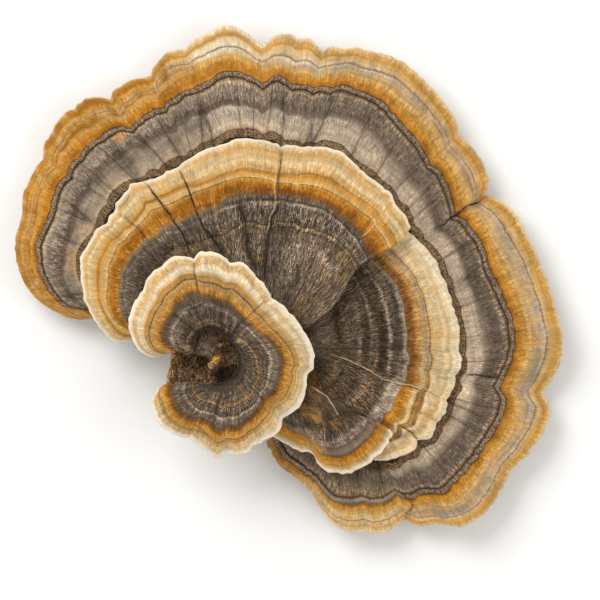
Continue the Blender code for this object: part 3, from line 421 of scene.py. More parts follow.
LOWER = {
    "seed": 47,
    "outline": [
        (19.4, -17.5),
        [(19.7, -18.3), (19.6, -18.8), (19.05, -19.15)],
        [(18.8, -20.2), (16.7, -22.3), (14.3, -24.2), (11.8, -25.1), (9.9, -25.05)],
        [(8.2, -24.8), (6.6, -23.4), (5.9, -22), (4.9, -21.4)],
        [(3.6, -21.2), (0.6, -19.7), (-1.6, -18.4), (-3.2, -16.8)],
    ],
    "rays": [
        ((19.4, -17.5), (5.2, -8.6)), ((16.7, -22.3), (4.2, -7.6)), ((9.9, -25.05), (2.5, -7.2)),
        ((4.9, -21.4), (0.5, -7.5)), ((-3.2, -16.8), (-3.5, -8.5)),
    ],
    "edges": ([(5.2, -8.6), (9, -12), (12.7, -14.4), (16, -15.7), (19.4, -17.5)], None),
    "profile": [(0, 11.8), (0.5, 11.4), (0.8, 9.9), (1, 8.4)],
    "lifts": [
        ((19.4, -17.5), 2.2), ((16.7, -22.3), 1.6), ((9.9, -25.05), 0.1), ((4.9, -21.4), 0),
        ((-3.2, -16.8), 0.6),
    ],
    "folds": [([(9.9, -25.05), (8.6, -21), (7.5, -16.2), (5.4, -13)], 0.7, 1, 5)],
    "lines": [3.4, 2, 1.9, 1.5], "creases": [([(8, -15), (8.2, -17), (8.5, -19.2)], 0.3)],
    "rims": [
        ([(4.9, -9.6), (6.2, -10.2), (7.95, -11.4), (8.8, -12.5), (9.7, -13.9), (10.2, -15.3)], 0.9),
        ([(7.2, -14.8), (7.6, -16.5), (7.8, -18.5), (7.9, -20.5), (8.2, -22.3)], 0.7),
    ],
    "shades": [
        ([(1, -15.9), (3.4, -16.5), (5.4, -16.5)], 0.6, -0.6),
        ([(2.8, -17.2), (5, -17.8), (7, -18.4)], 0.9, 0.4),
        # Painted shadow beside the raised edge of the fold.
        ([(8.2, -14.9), (8.5, -17.2), (8.9, -19.2)], 0.5, -0.5),
        ([(8.6, -19.8), (10, -19.4), (12, -18.1), (13.6, -16.9), (15.3, -15.8)], 0.4, 0.45),
        ([(7.9, -15.9), (9, -15.6), (9.9, -15.3)], 0.2, -0.6),
        ([(10.6, -14.4), (12.6, -15.2)], 0.6, -0.4),
    ],
    "stains": [
        ([(3, -13.6), (5, -13.5), (6.6, -14.1), (7.3, -15.6)], 0.35, 0.45),
        ([(3.4, -14.8), (5.2, -14.9), (6.8, -15.6)], 0.6, 0.4),
        ([(0.2, -17.6), (3, -18.9), (5.4, -19.7), (7.2, -20.8)], 0.7, 0.5),
        ([(5.2, -10.6), (6.6, -12.2)], 0.7, 0.25),
        ([(8.4, -16.5), (10.2, -16)], 0.5, 0.35),
    ],
    "stain": "ochre",
    "looks": (
        # All of the cap.
        """0 umber charcoal, 0.8 crust umber, 1 rust crust, 1.2 umber crust, 1.7 dark_grey grey,
        2 grey fibre_grey, 2.2 grey dark_grey, 2.8 mauve grey, 3 crust rust, 3.2 deep_orange orange,
        3.6 orange ochre, 3.95 ochre tan, 4.2 warm_cream tan, 4.5 cream warm_cream,
        4.8 cream rim_white""",
    ),
    "dark_lines": [(1.0, 0.1, 0.3), (4.0, 0.08, 0.25)], "fray": (0.3, 0.3, 0.3, 0.2, 0.2, 0.2),
    "felt": (1.2, 1.0, 0.65, 0.3, 0.2, 0.15), "specks": 1.2, "rim": 0.5, "rim_colour": "rim_white",
    "rib_width": 3.0, "rib_height": 0.14, "ribs_end": 3.0, "column_scale": 0.7,
    "rows": ((0.0, 0), (0.15, 4), (1.0, 66)), "under_rows": ((0.0, 0), (1.0, 16)),
}

MIDDLE = {
    "seed": 59,
    "outline": [
        (-23.2, -0.6),
        [
            (-26, -1.8), (-28.4, -2.05), (-30.6, -0.7), (-32.7, 2.1), (-34.3, 5.4), (-34.8, 9.1),
            (-35, 12.6), (-34.05, 14.3),
        ],
        [(-33.2, 15.65), (-32.4, 17.5), (-31.4, 18.05)],
        [(-30.3, 18.9), (-29.9, 19.9), (-29.15, 20.6)],
        [(-28.8, 21.3), (-28.6, 22.4), (-26.5, 24.6), (-26, 25.7), (-24, 25.9)],
        [(-21.85, 26.6), (-19.45, 27.9), (-17.8, 28.6)],
        [(-16, 30), (-12.1, 31.9), (-9.3, 32.8)],
        [(-6.4, 33.5), (-2.05, 33), (0.2, 32.2)],
        [(2, 32.35), (3.8, 32)],
        [(6.5, 32.15), (10.15, 31.5), (12.2, 29.9), (14.7, 27.6), (17.5, 25.3), (19.1, 24.2), (20.2, 22.2)],
        [(21.8, 20.2), (22.8, 17.9)],
    ],
    "rays": [
        ((-23.2, -0.6), (-20.5, 3.8)), ((-28.4, -2.05), (-20.5, 4.5)), ((-33.3, 3.2), (-18.5, 5.5)),
        ((-34.9, 10.5), (-16, 6)), ((-31.4, 18.05), (-13.5, 5)), ((-26.5, 24.6), (-11, 3.8)),
        ((-17.8, 28.6), (-8, 2.8)), ((-9.3, 32.8), (-6, 2.2)), ((0.2, 32.2), (-3.2, 1.8)),
        ((10.15, 31.5), (0, 2)), ((17.5, 25.3), (2.5, 1.2)), ((22.8, 17.9), (3.6, -0.3)),
    ],
    "edges": (
        None,
        [
            (3.6, -0.3), (5.9, 1.2), (9.5, 4.2), (12, 8.3), (13.8, 10.9), (16.9, 12.9), (20.9, 15.3),
            (22.8, 17.9),
        ],
    ),
    "profile": [(0, 11.8), (0.5, 11.3), (0.8, 10), (1, 8.2)],
    "lifts": [
        ((-23.2, -0.6), 0), ((-34.8, 9.1), 0.3), ((-29.15, 20.6), 0), ((-26.5, 24.6), 0.4),
        ((-17.8, 28.6), 0), ((-6.4, 33.5), 0.5), ((10.15, 31.5), 0.3), ((17.5, 25.3), 1),
        ((22.8, 17.9), 2.3),
    ],
    "folds": [
        ([(-29.15, 20.6), (-26.2, 18.9), (-22.9, 15.4)], 0.8, -1, 6),
        ([(-24, 25.9), (-20.3, 21.5), (-15.3, 13.3)], 0.5, 1, 5),
        ([(-17.8, 28.6), (-14.9, 21.8), (-9.1, 13.1)], 0.5, 1, 5),
        ([(0.2, 32.2), (-0.3, 27), (-0.6, 21), (-2.3, 12)], 0.9, -1, 6),
    ],
    "lines": [
        [
            (-21.5, 2), (-23, 4.5), (-23.3, 7), (-22.2, 10.5), (-19.5, 13.5), (-16.1, 14.8), (-12.4, 16),
            (-9.8, 16.4), (-7.8, 17.7), (-6.5, 18.6), (-5.2, 18.8), (-3.4, 18.3), (-1.7, 18.1), (-1, 18.7),
            (2, 18.8), (3.5, 17.8), (6.2, 17.3), (8.3, 16.6), (10.1, 15.6), (11.4, 14.2), (12.7, 12.5),
        ],
        [
            (-26, 2.6), (-27.2, 5.8), (-26.8, 8.5), (-25.8, 11.5), (-22.5, 14.8), (-20, 16.4),
            (-14.9, 18.6), (-10.75, 20.85), (-7.1, 21.9), (-2.7, 22.5), (-0.4, 22.5), (2.7, 22),
            (5.7, 21.3), (8, 20.6), (10, 19.2), (12.7, 16.4), (14.4, 13.9),
        ],
        [
            (-27.5, 2.5), (-28, 6), (-27.3, 10.7), (-25.7, 13.3), (-23.7, 15.3), (-22.6, 15.8), (-21, 16.9),
            (-19.4, 18.2), (-18.2, 18.7), (-16, 19.5), (-14.5, 20.3), (-11.3, 21), (-9.5, 22.9),
            (-7.8, 23.4), (-4.7, 23.7), (-1.5, 23.5), (0.9, 23.8), (3.3, 23.1), (5.7, 22.5), (8.3, 21.6),
            (10.5, 19.9), (12.3, 18.6), (13, 17.5), (14.5, 15.5), (15.5, 13.5),
        ],
        [
            (-26.3, 0), (-27.5, 0.6), (-29, 1.8), (-30, 3.7), (-30, 8), (-29.8, 10.2), (-29.5, 12),
            (-28.7, 14), (-27.7, 15.3), (-26.7, 16.3), (-25.5, 17.5), (-24.8, 18.2), (-24.3, 19),
            (-22.7, 20.8), (-20.5, 21.7), (-20, 21.8), (-17.7, 22.8), (-16.2, 23.5), (-12.8, 24.8),
            (-11.3, 25.3), (-9.5, 26.1), (-7.8, 26.5), (-5.2, 26.7), (-3, 26.5), (-1.3, 26), (4.2, 25.4),
            (6.2, 25.1), (8.1, 24.4), (10.1, 23.5), (12.3, 22.3), (13.8, 21),
        ],
        [
            (-31.8, 9), (-31.5, 11.7), (-30.8, 13.3), (-30.2, 14.5), (-29, 15.8), (-27.7, 17.2),
            (-25.3, 19), (-22.3, 22.5), (-21, 23.3), (-19.3, 24), (-16.5, 25.2), (-14.55, 25.1),
            (-12.8, 25.9), (-10.85, 26.6), (-9.5, 27.3), (-7.8, 27.7), (-5.8, 28), (-3.4, 27.7),
            (-1.5, 27.3), (-0.4, 27.2), (0.9, 27.2), (3.5, 27.1), (5.7, 27.2), (7.7, 26.6), (9.4, 25.9),
            (11.2, 24.7), (12.7, 23.6), (15.15, 22.15), (16.2, 21.3), (17.1, 20.2),
        ],
    ],
    "creases": [
        (
            [
                (-24.2, 26), (-23.15, 25.35), (-21.85, 23.5), (-20.3, 21.5), (-18.8, 19.4), (-17.05, 16.7),
                (-15.3, 12.6),
            ],
            1,
        ),
        (
            [
                (-17.9, 28.7), (-16.8, 26.3), (-15.7, 23.9), (-15, 22), (-14.5, 20.5), (-14, 19.3),
                (-13.2, 18), (-12.5, 17), (-11.8, 16), (-11, 14.8), (-10.2, 13.4),
            ],
            1,
        ),
        ([(-9.2, 32.8), (-8.6, 28.1)], 0.4),
        ([(0.2, 32.2), (0.1, 28.3), (-0.3, 27.7), (-0.4, 25.9), (-0.2, 23.5)], 0.75),
        ([(-0.2, 24), (-0.3, 21), (-1, 20), (-1.5, 19), (-2, 16), (-2.3, 13), (-2.7, 10), (-2.4, 8)], 0.75),
        ([(-7.1, 23.2), (-7, 21.5), (-6.2, 19.5), (-6, 17), (-5.6, 14), (-4.8, 12), (-4, 10.2)], 0.8),
        ([(1.7, 16.9), (1.2, 15.6), (0.5, 14.3), (-0.2, 12.8)], 0.35),
        ([(3.6, 11.6), (3.3, 9.8), (2.8, 8.2), (1.8, 7.2)], 0.4),
        ([(2.2, 19), (1.6, 17.8), (0.6, 17.2)], 0.35),
        ([(-21.9, 14.7), (-20.6, 14.1), (-19.6, 13.2)], 0.5),
        ([(-29.15, 20.6), (-27.9, 20.1), (-26.2, 18.9), (-24.5, 17.4), (-22.9, 15.4)], 0.65),
        ([(-26, 24.8), (-26.8, 22.8), (-28.2, 21.2)], 0.5),
        ([(3.6, 3.9), (4.6, 4.7), (6.5, 6.4), (8.3, 8.3)], 0.7),
    ],
    "rims": [
        ([(-0.2, 32.2), (-0.4, 28.3), (-0.9, 25.9), (-0.8, 22), (-1.5, 20), (-2.4, 17)], 0.9),
        ([(-29.15, 20.9), (-27.7, 20.4), (-26, 19.2), (-24.3, 17.7)], 0.7),
        ([(-28.9, 20.9), (-28.5, 22.4), (-27, 24.2), (-26, 25.5), (-24.2, 25.9)], 1),
        ([(-24, 26), (-22.7, 25.3), (-21.4, 23.5), (-19.9, 21.5)], 0.7),
        ([(-17.5, 28.7), (-16.4, 26.3), (-15.3, 23.9), (-14.5, 21.8)], 0.7),
        ([(3.7, 32), (3.7, 27.7), (3, 24.2), (2.3, 20.4)], 0.75),
        ([(8.8, 24.2), (7.8, 22), (7, 20.4)], 0.7),
        ([(18.6, 20.3), (16.5, 18.2), (14.4, 16.2)], 0.9),
        ([(13.2, 21.9), (11.4, 19.8)], 0.3),
        ([(-12.2, 24.8), (-11.6, 22.2), (-10.9, 20.5)], 0.8),
        ([(4.3, 0.7), (7, 2.3), (9.4, 4.6), (11, 7), (12.2, 9)], 0.6),
        ([(3.6, -0.1), (5.9, 1.4), (9.4, 4.4), (11.8, 8.5), (13.6, 11.1), (16.8, 13.2), (20.8, 15.6)], 0.5),
    ],
    "shades": [
        ([(-4.6, 11.5), (-5.2, 16.8)], 1.6, -0.4),
        ([(-8, 19.4), (-3, 20.4), (1, 20.4)], 1, -0.2),
        ([(6, 6), (8.2, 11), (10.4, 16.2)], 2.4, 0.2),
        # Painted shade in the valleys along the creases.
        ([(-12.7, 17.2), (-11.8, 15.9), (-10.9, 14.6), (-10.2, 13.2)], 0.6, -0.9),
        ([(-6.9, 21.4), (-6.6, 20.2), (-6.1, 19)], 0.5, -0.9),
        ([(-6.1, 18), (-5.9, 15.5), (-5.5, 13.8), (-4.8, 12.2), (-4.2, 10.6)], 0.5, -0.7),
        ([(-1, 20.5), (-1.5, 18.9), (-1.9, 16.5), (-2.2, 14), (-2.5, 11.5), (-2.6, 9)], 0.6, -0.9),
        ([(0.8, 17), (-0.4, 14), (-1.1, 11), (-1.2, 8)], 0.9, -0.55),
        ([(2.4, 18.8), (1, 17.7), (-0.6, 17.6)], 0.6, -0.45),
        ([(3.1, 11.5), (3.2, 9.8), (2.6, 8.3), (1.8, 7.2)], 0.4, -0.6),
        ([(-24, 11), (-22, 13.2), (-19.5, 14.2)], 1.1, -0.5),
        ([(-16.2, 18.5), (-15, 16.4)], 0.8, -0.3),
        ([(2, 3), (1.4, 5), (0.4, 7)], 0.8, -0.4),
        # Lighter strokes: partly painted light on crests, partly the cap's own paler patches.
        ([(-3.9, 17.6), (-3.8, 15), (-3.7, 13.2)], 0.8, 0.35),
        ([(-8.2, 16.8), (-7.4, 14.4), (-6.8, 12.6)], 0.8, 0.45),
        ([(1.6, 8.3), (2, 11), (3.2, 14), (4.2, 16.8)], 0.7, 0.5),
        ([(4.6, 12.4), (5.6, 15.2), (6.4, 16.6)], 0.45, 0.4),
        ([(9.6, 9.4), (8.2, 11.6), (7, 13.4)], 0.8, 0.35),
        ([(5.8, 1.9), (8.2, 4), (10.2, 6.6)], 0.7, 0.25),
        ([(-4, 21.9), (-1, 21.9)], 0.25, 0.5),
        ([(-10.8, 20.8), (-9.4, 21.3), (-7.6, 21.9)], 0.25, 0.4),
        ([(3, 21.9), (6.4, 20.8), (9.6, 19.1), (12.2, 16.6), (14, 14.2)], 0.3, 0.3),
    ],
    "stains": [
        ([(-5.2, 12.4), (-4, 12.6), (-2.9, 12.3)], 0.3, 1),
        ([(10.4, 8.6), (11.9, 11), (11.5, 12.6), (10.4, 13.7)], 0.8, 0.6),
        ([(8.4, 9.2), (6, 6.6), (4, 4.9), (2.2, 3.2)], 1.1, 0.4),
    ],
    "stain": "olive",
    "looks": (
        # Most of the cap.
        """0 crust umber, 0.4 grey dark_grey, 0.8 grey crust, 0.945 grey umber, 0.965 near_black umber,
        0.975 straw crust, 1 beige straw, 1.02 straw rust, 1.035 near_black umber, 1.08 crust umber,
        1.4 dark_grey grey, 1.85 dark_grey grey, 1.98 fibre_grey grey, 2.06 dark_grey grey,
        2.3 dark_grey charcoal, 2.75 dark_grey grey, 3 crust rust, 3.1 rust deep_orange,
        3.35 deep_orange rust, 3.6 deep_orange orange, 3.88 orange ochre, 4.1 tan warm_cream,
        4.55 tan ochre, 4.85 ochre orange, 5 ochre tan, 5.14 tan warm_cream, 5.4 warm_cream cream,
        5.6 warm_cream tan, 5.78 tan warm_cream, 5.93 warm_cream cream, 6 rim_white cream""",
        # Left lobe.
        """0 umber crust, 0.8 crust umber, 0.98 straw umber, 1.03 near_black umber, 1.1 umber crust,
        1.5 crust dark_grey, 1.85 grey dark_grey, 2 mauve grey, 2.4 grey dark_grey, 2.75 crust mauve,
        3 straw rust, 3.2 deep_orange ochre, 3.45 deep_orange orange, 3.7 orange deep_orange,
        3.93 ochre tan, 4.1 tan warm_cream, 4.6 warm_cream tan, 4.93 ochre orange, 5.12 tan ochre,
        5.25 warm_cream tan, 5.5 warm_cream cream, 5.8 warm_cream tan, 6 rim_white cream""",
    ),
    "tones": [
        ((-23.2, -0.6), (1, 0, 0)), ((-29.15, 20.6), (1, 0, 0)), ((-19.45, 27.9), (0.8, 0, 0)),
        ((-9.3, 32.8), (0.2, 0, 0)), ((3.8, 32), (0, 0, 0)), ((22.8, 17.9), (0, 0, 0)),
    ],
    "dark_lines": [(1.0, 0.05, 0.3), (2.35, 0.06, 0.35), (4.0, 0.06, 0.6), (5.02, 0.06, 0.4)],
    "fray": (0.3, 0.3, 0.3, 0.2, 0.2, 0.3, 0.3), "felt": (1.9, 1.7, 1.2, 0.6, 0.3, 0.25, 0.2),
    "specks": 1.0, "rim": 0.5, "rim_colour": "rim_white", "rib_width": 3.8, "rib_height": 0.25,
    "ribs_end": 3.0, "column_scale": 0.85, "rows": ((0.0, 0), (0.2, 6), (1.0, 100)),
    "under_rows": ((0.0, 0), (1.0, 22)),
}

FRONT = {
    "seed": 73,
    "outline": [
        (-22, -4.8),
        [(-24.4, -3.7), (-26.1, -0.5), (-26.3, 2), (-25.2, 5), (-23.9, 7)],
        [(-23, 9.3), (-20.2, 11.6)],
        [(-18.4, 12.9), (-15.9, 12.75), (-15.1, 12.5)],
        [(-13.9, 13.6), (-11, 13.4), (-8.7, 11.9)],
        [(-6.6, 11.8), (-4.6, 10.2), (-4.1, 9.4)],
        [(-2.6, 8), (-1.5, 5.6)],
        [(0.6, 4.2), (3.8, 0.6), (5.7, -3), (6, -6.2), (4.9, -7.8)],
        [(4.5, -10.5), (3.3, -13.4), (0.6, -15.4)],
        [(0, -17.3), (-1.4, -18.7), (-4.8, -20.3)],
        [(-5.6, -21.2), (-7.5, -21.8), (-9.4, -21.5)],
        [(-11.2, -22.3), (-13.1, -20.9), (-15.7, -18.9)],
        [(-18.2, -18.3), (-21, -16.3), (-22.6, -13.1), (-22.1, -11.4), (-20.9, -9.9)],
    ],
    "rays": [
        ((-22, -4.8), (-15, -3)), ((-26.1, -0.5), (-14.9, -2)), ((-23.9, 7), (-14.2, -0.6)),
        ((-15.1, 12.5), (-12.6, 0.2)), ((-8.7, 11.9), (-11.2, -0.1)), ((-1.5, 5.6), (-9.2, -1.3)),
        ((5.7, -3), (-7.6, -3.6)), ((4.5, -10.5), (-7.3, -5.6)), ((-1.4, -18.7), (-7.8, -7.4)),
        ((-9.4, -21.5), (-8.8, -8.6)), ((-15.7, -18.9), (-10.4, -9.2)), ((-22.6, -13.1), (-11.8, -9.4)),
        ((-20.9, -9.9), (-12.6, -9.45)),
    ],
    "edges": (
        [(-15, -3), (-15.5, -4.1), (-16.5, -4.3), (-17.3, -3.8), (-19.1, -4), (-20.6, -4.35), (-22, -4.8)],
        [(-12.6, -9.45), (-13.8, -9.1), (-16.2, -9.1), (-17.9, -9.3), (-19.9, -9.4), (-20.9, -9.9)],
    ),
    "profile": [
        (0, 10.5), (0.1, 13), (0.25, 15.2), (0.45, 16.5), (0.6, 16.6), (0.8, 15.7), (0.92, 14.7), (1, 13.8),
    ],
    "lifts": [
        ((-22, -4.8), 0.4), ((-26.1, -0.5), -0.2), ((-15.1, 12.5), 0), ((-4.1, 9.4), 0.3), ((5.7, -3), 0),
        ((0.6, -15.4), 0.3), ((-9.4, -21.5), -0.6), ((-22.6, -13.1), 0.6), ((-20.9, -9.9), 0.2),
    ],
    "root_wall": FUNNEL_WALL,
    "folds": [([(-15.1, 12.5), (-14.2, 6.5)], 0.5, 1, 5), ([(-15.7, -18.9), (-14, -15.5)], 0.5, -1, 4)],
    "lines": [
        [
            (-16.3, -2.3), (-15.3, -0.3), (-13.6, 0.6), (-11.3, 1.1), (-9.4, 0.2), (-7.2, -1.3),
            (-4.6, -3.9), (-3.6, -7.9), (-4.9, -11.3), (-9.25, -13.3), (-13.3, -12.3), (-15.3, -10.3),
        ],
        [
            (-18.9, -0.3), (-15.8, 3.4), (-13.5, 4.1), (-10.2, 3.2), (-2.5, -3.1), (-1.5, -5.9), (-2, -8.3),
            (-3.4, -11.1), (-5.7, -14.1), (-9.7, -15.5), (-11.6, -14.6), (-13.5, -14.4), (-15.8, -12.5),
            (-16.7, -10.6),
        ],
        2.3,
        [
            (-21.2, -3.8), (-22.4, -2.4), (-22.8, -0.8), (-22.4, 1.1), (-21.7, 3), (-20.5, 4.8),
            (-19.1, 6.7), (-17.4, 8.1), (-15.8, 8.8), (-14.5, 8.9), (-13.5, 8.2), (-11.1, 7.9), (-8.8, 7.2),
            (-6.9, 6), (-5.7, 4.8), (-4.3, 3), (-2.2, 0.9), (-0.6, -0.5), (0.8, -2), (2, -4.1), (2.5, -5.9),
            (2.2, -8.3), (1.3, -10.6), (-1.1, -13), (-2.7, -15.3), (-4.1, -17), (-10.5, -19.5),
            (-13.5, -17.8), (-15.5, -17.3), (-18.2, -16.1), (-19.9, -14.5), (-20.5, -12.4), (-20.7, -10.1),
        ],
    ],
    "creases": [
        ([(-15.1, 12.5), (-14.9, 9.5), (-14.4, 7.6), (-14, 6)], 0.7),
        ([(-2, 5.6), (-4.8, 3), (-6.3, 1.8), (-7.5, 0.5), (-8.4, -1)], 0.6),
        ([(-9.7, 6.3), (-10.2, 4.5), (-10.5, 3), (-10.2, 1.4), (-9.7, -0.6)], 0.45),
        ([(1.5, 1.2), (0, 0), (-1.4, -1.2)], 0.3),
        ([(-4.6, -2), (-5.3, -2.6), (-5.9, -3.3)], 0.6),
        ([(-15.5, -17.3), (-14.8, -16.4), (-13.4, -17.6), (-12, -19)], 0.6),
    ],
    "rims": [
        (
            [
                (-20.5, -9.7), (-17.5, -9.4), (-15.2, -9.1), (-13.2, -9.3), (-11.3, -9.8), (-9.3, -9.5),
                (-8, -8.5),
            ],
            0.5,
        ),
        ([(-22, -5), (-20.6, -4.5), (-18.5, -4.1)], 0.6),
        ([(-15.4, -18.5), (-14, -16.9), (-12.4, -18.6)], 0.5),
    ],
    "shades": [
        ([(-15.9, 3.2), (-14.8, 3.9), (-13.6, 4.2)], 0.3, -0.8),
        ([(-16, 3.4), (-15.4, 2.4)], 0.25, -0.7),
        ([(-17.2, 4.6), (-15.2, 5.3), (-13, 5.2)], 0.7, 0.4),
        ([(-18.9, -1.8), (-18.5, 0.6), (-17.2, 2.8), (-16.2, 3.8)], 0.35, 0.5),
        ([(-8.2, 3.4), (-6, 3), (-4.6, 1.4)], 0.7, 0.35),
        ([(-4.6, -0.2), (-2.9, -1.2), (-1.7, -3)], 0.8, 0.4),
        ([(-10.2, 3.4), (-10.2, 1.6), (-9.8, -0.2)], 0.3, -0.8),
        ([(-8.8, 2.4), (-8.5, 0.8), (-8.9, -0.9)], 0.3, -0.6),
        ([(-7, 1.6), (-7.7, 0.2), (-8.4, -1.2)], 0.3, -0.7),
        ([(-9.4, 2), (-9.2, -0.4)], 0.25, 0.7),
        ([(-7.9, 2), (-8.2, 0)], 0.25, 0.5),
        ([(-5.4, 0.4), (-6.8, -0.8)], 0.4, 0.4),
        ([(-7.4, -2), (-6, -2.2)], 0.45, 0.6),
        ([(-16.4, -2.8), (-17.4, -1.6), (-17.6, -0.2)], 0.6, 0.3),
    ],
    "stains": [
        ([(-15.7, -1.2), (-14.9, 0.4), (-13.6, 1.4), (-12, 1.5), (-10.6, 0.9)], 0.3, 0.7),
        ([(-7.4, -2), (-6, -2.2)], 0.45, 0.8),
        ([(-16.6, -3), (-15.6, -3.6)], 0.5, 0.8),
    ],
    "stain": "straw",
    "looks": (
        # Right side and ends. The near black and charcoal up to zone 0.4, on the funnel's inner wall,
        # are painted shade.
        """0 near_black near_black, 0.15 charcoal near_black, 0.28 crust umber, 0.38 charcoal umber,
        0.52 crust grey, 0.64 umber crust, 0.78 crust grey, 0.88 umber crust, 0.95 straw rust,
        1.05 ochre crust, 1.12 umber crust, 1.28 crust grey, 1.4 umber dark_grey, 1.54 grey crust,
        1.68 umber crust, 1.86 crust dark_grey, 1.96 beige fibre_grey, 2.06 grey fibre_grey,
        2.3 crust grey, 2.7 crust mauve, 2.93 crust rust, 3.1 rust crust, 3.3 deep_orange rust,
        3.55 orange ochre, 3.8 ochre tan, 3.96 tan straw, 4.08 tan ochre, 4.25 tan warm_cream,
        4.45 warm_cream cream, 4.62 cream warm_cream, 4.76 rim_white cream, 4.87 rim_white cream""",
        # Paler left and top. On the funnel's inner wall, grey at zone 0 is painted light and near black
        # at zone 0.4 is painted shade.
        """0 grey charcoal, 0.2 dark_grey near_black, 0.4 near_black charcoal, 0.6 umber crust,
        0.85 crust dark_grey, 0.97 beige straw, 1.1 crust umber, 1.4 crust grey, 1.9 grey crust,
        2 grey fibre_grey, 2.2 crust grey, 2.6 crust umber, 2.82 crust rust, 3.05 deep_orange crust,
        3.3 orange ochre, 3.6 ochre straw, 3.9 straw ochre, 4 crust straw, 4.12 ochre straw,
        4.22 tan ochre, 4.33 cream beige, 4.52 cream rim_white, 4.64 tan warm_cream, 4.76 tan cream,
        4.88 cream warm_cream, 5 rim_white cream""",
    ),
    "tones": [
        ((-22, -4.8), (0.6, 0, 0)), ((-26.3, 2), (0.7, 0, 0)), ((-20.2, 11.6), (1, 0, 0)),
        ((-8.7, 11.9), (1, 0, 0)), ((-4.1, 9.4), (0.9, 0, 0)), ((0.6, 4.2), (0.4, 0, 0)),
        ((6, -6.2), (0, 0, 0)), ((-20.9, -9.9), (0, 0, 0)),
    ],
    "dark_lines": [(1.1, 0.05, 0.5), (4.0, 0.05, 0.65), (4.2, 0.04, 0.25)],
    "fray": (0.2, 0.3, 0.25, 0.2, 0.2, 0.3), "felt": (1.6, 1.5, 1.0, 0.6, 0.25, 0.2), "specks": 1.3,
    "rim": 0.55, "rim_colour": "rim_white", "rib_width": 3.0, "rib_height": 0.12, "ribs_end": 3.0,
    "column_scale": 0.75, "rows": ((0.0, 0), (0.3, 34), (1.0, 66)), "under_rows": ((0.0, 0), (1.0, 26)),
}

# What shows in the funnel's hole: a centre, a radius, a colour and its strength. The near_black
# spots are painted shade in the hole and its pits; the others are the old tissue's own colours.
OLD_TISSUE_SPOTS_AND_SHADE = (
    ((-10.6, -4.6), 5.0, "near_black", 0.45), ((-13.2, -1.9), 3.0, "dark_grey", 0.75),
    ((-13.2, -3.4), 1.6, "grey", 0.75), ((-8.8, -3.9), 2.0, "umber", 0.6),
    ((-13.7, -5.4), 1.2, "near_black", 0.8), ((-9.6, -8.1), 2.2, "near_black", 0.95),
    ((-8.2, -7.0), 1.3, "near_black", 0.9), ((-10.8, -4.7), 1.0, "rust", 0.8),
    ((-11.2, -5.2), 0.8, "tan", 0.6), ((-12.0, -6.2), 0.75, "straw", 0.85),
    ((-19.2, -4.6), 0.8, "straw", 0.6), ((-19.4, -6.0), 0.8, "straw", 0.5),
    ((-19.7, -7.4), 0.8, "tan", 0.5), ((-20.0, -8.8), 0.8, "straw", 0.6),
    ((-16.6, -8.2), 1.6, "crust", 0.6), ((-16.2, -5.2), 1.3, "near_black", 0.6),
)


def linear(hex_colour):
    """An sRGB hex colour as linear red, green and blue."""
    parts = [int(hex_colour[i:i + 2], 16) / 255 for i in (0, 2, 4)]
    return tuple(c / 12.92 if c <= 0.04045 else ((c + 0.055) / 1.055) ** 2.4 for c in parts)


def length_property(name, description, millimetres):
    return bpy.props.FloatProperty(
        name=name, description=description, default=millimetres * MM, min=0.0, soft_max=10 * MM,
        subtype="DISTANCE", unit="LENGTH", precision=5,
    )


def colour_property(name, description, hex_colour):
    return bpy.props.FloatVectorProperty(
        name=name, description=description, default=linear(hex_colour),
        subtype="COLOR", size=3, min=0.0, max=1.0,
    )


class FungusSizes(bpy.types.PropertyGroup):
    """Sizes of the fine surface."""

    column: length_property("Column", "Distance between the columns of a cap along its margin", 0.34)
    rim: length_property("Rim radius", "Radius of the rolled rim at the margin", 0.32)
    furrow: length_property("Furrow depth", "Depth of the furrows that run out to the margin", 0.16)
    wave: length_property("Wave height", "Height of the broad waves in a cap", 0.5)
    ring: length_property("Ring height", "Height of the rings that mark the growth zones", 0.14)
    crease: length_property("Crease depth", "Depth of the dark creases", 0.32)
    ridge: length_property("Ridge height", "Height of the bumpy ridge round the back cap", 0.4)
    ridge_width: length_property("Ridge width", "Width of the bumpy ridge", 0.9)
    hair: length_property("Hair width", "Width of one lock of the velvety hair", 0.2)
    hair_length: length_property("Hair length", "Length of one lock of the velvety hair", 1.0)
    pore: length_property("Pore size", "Distance between the pores underneath", 0.32)


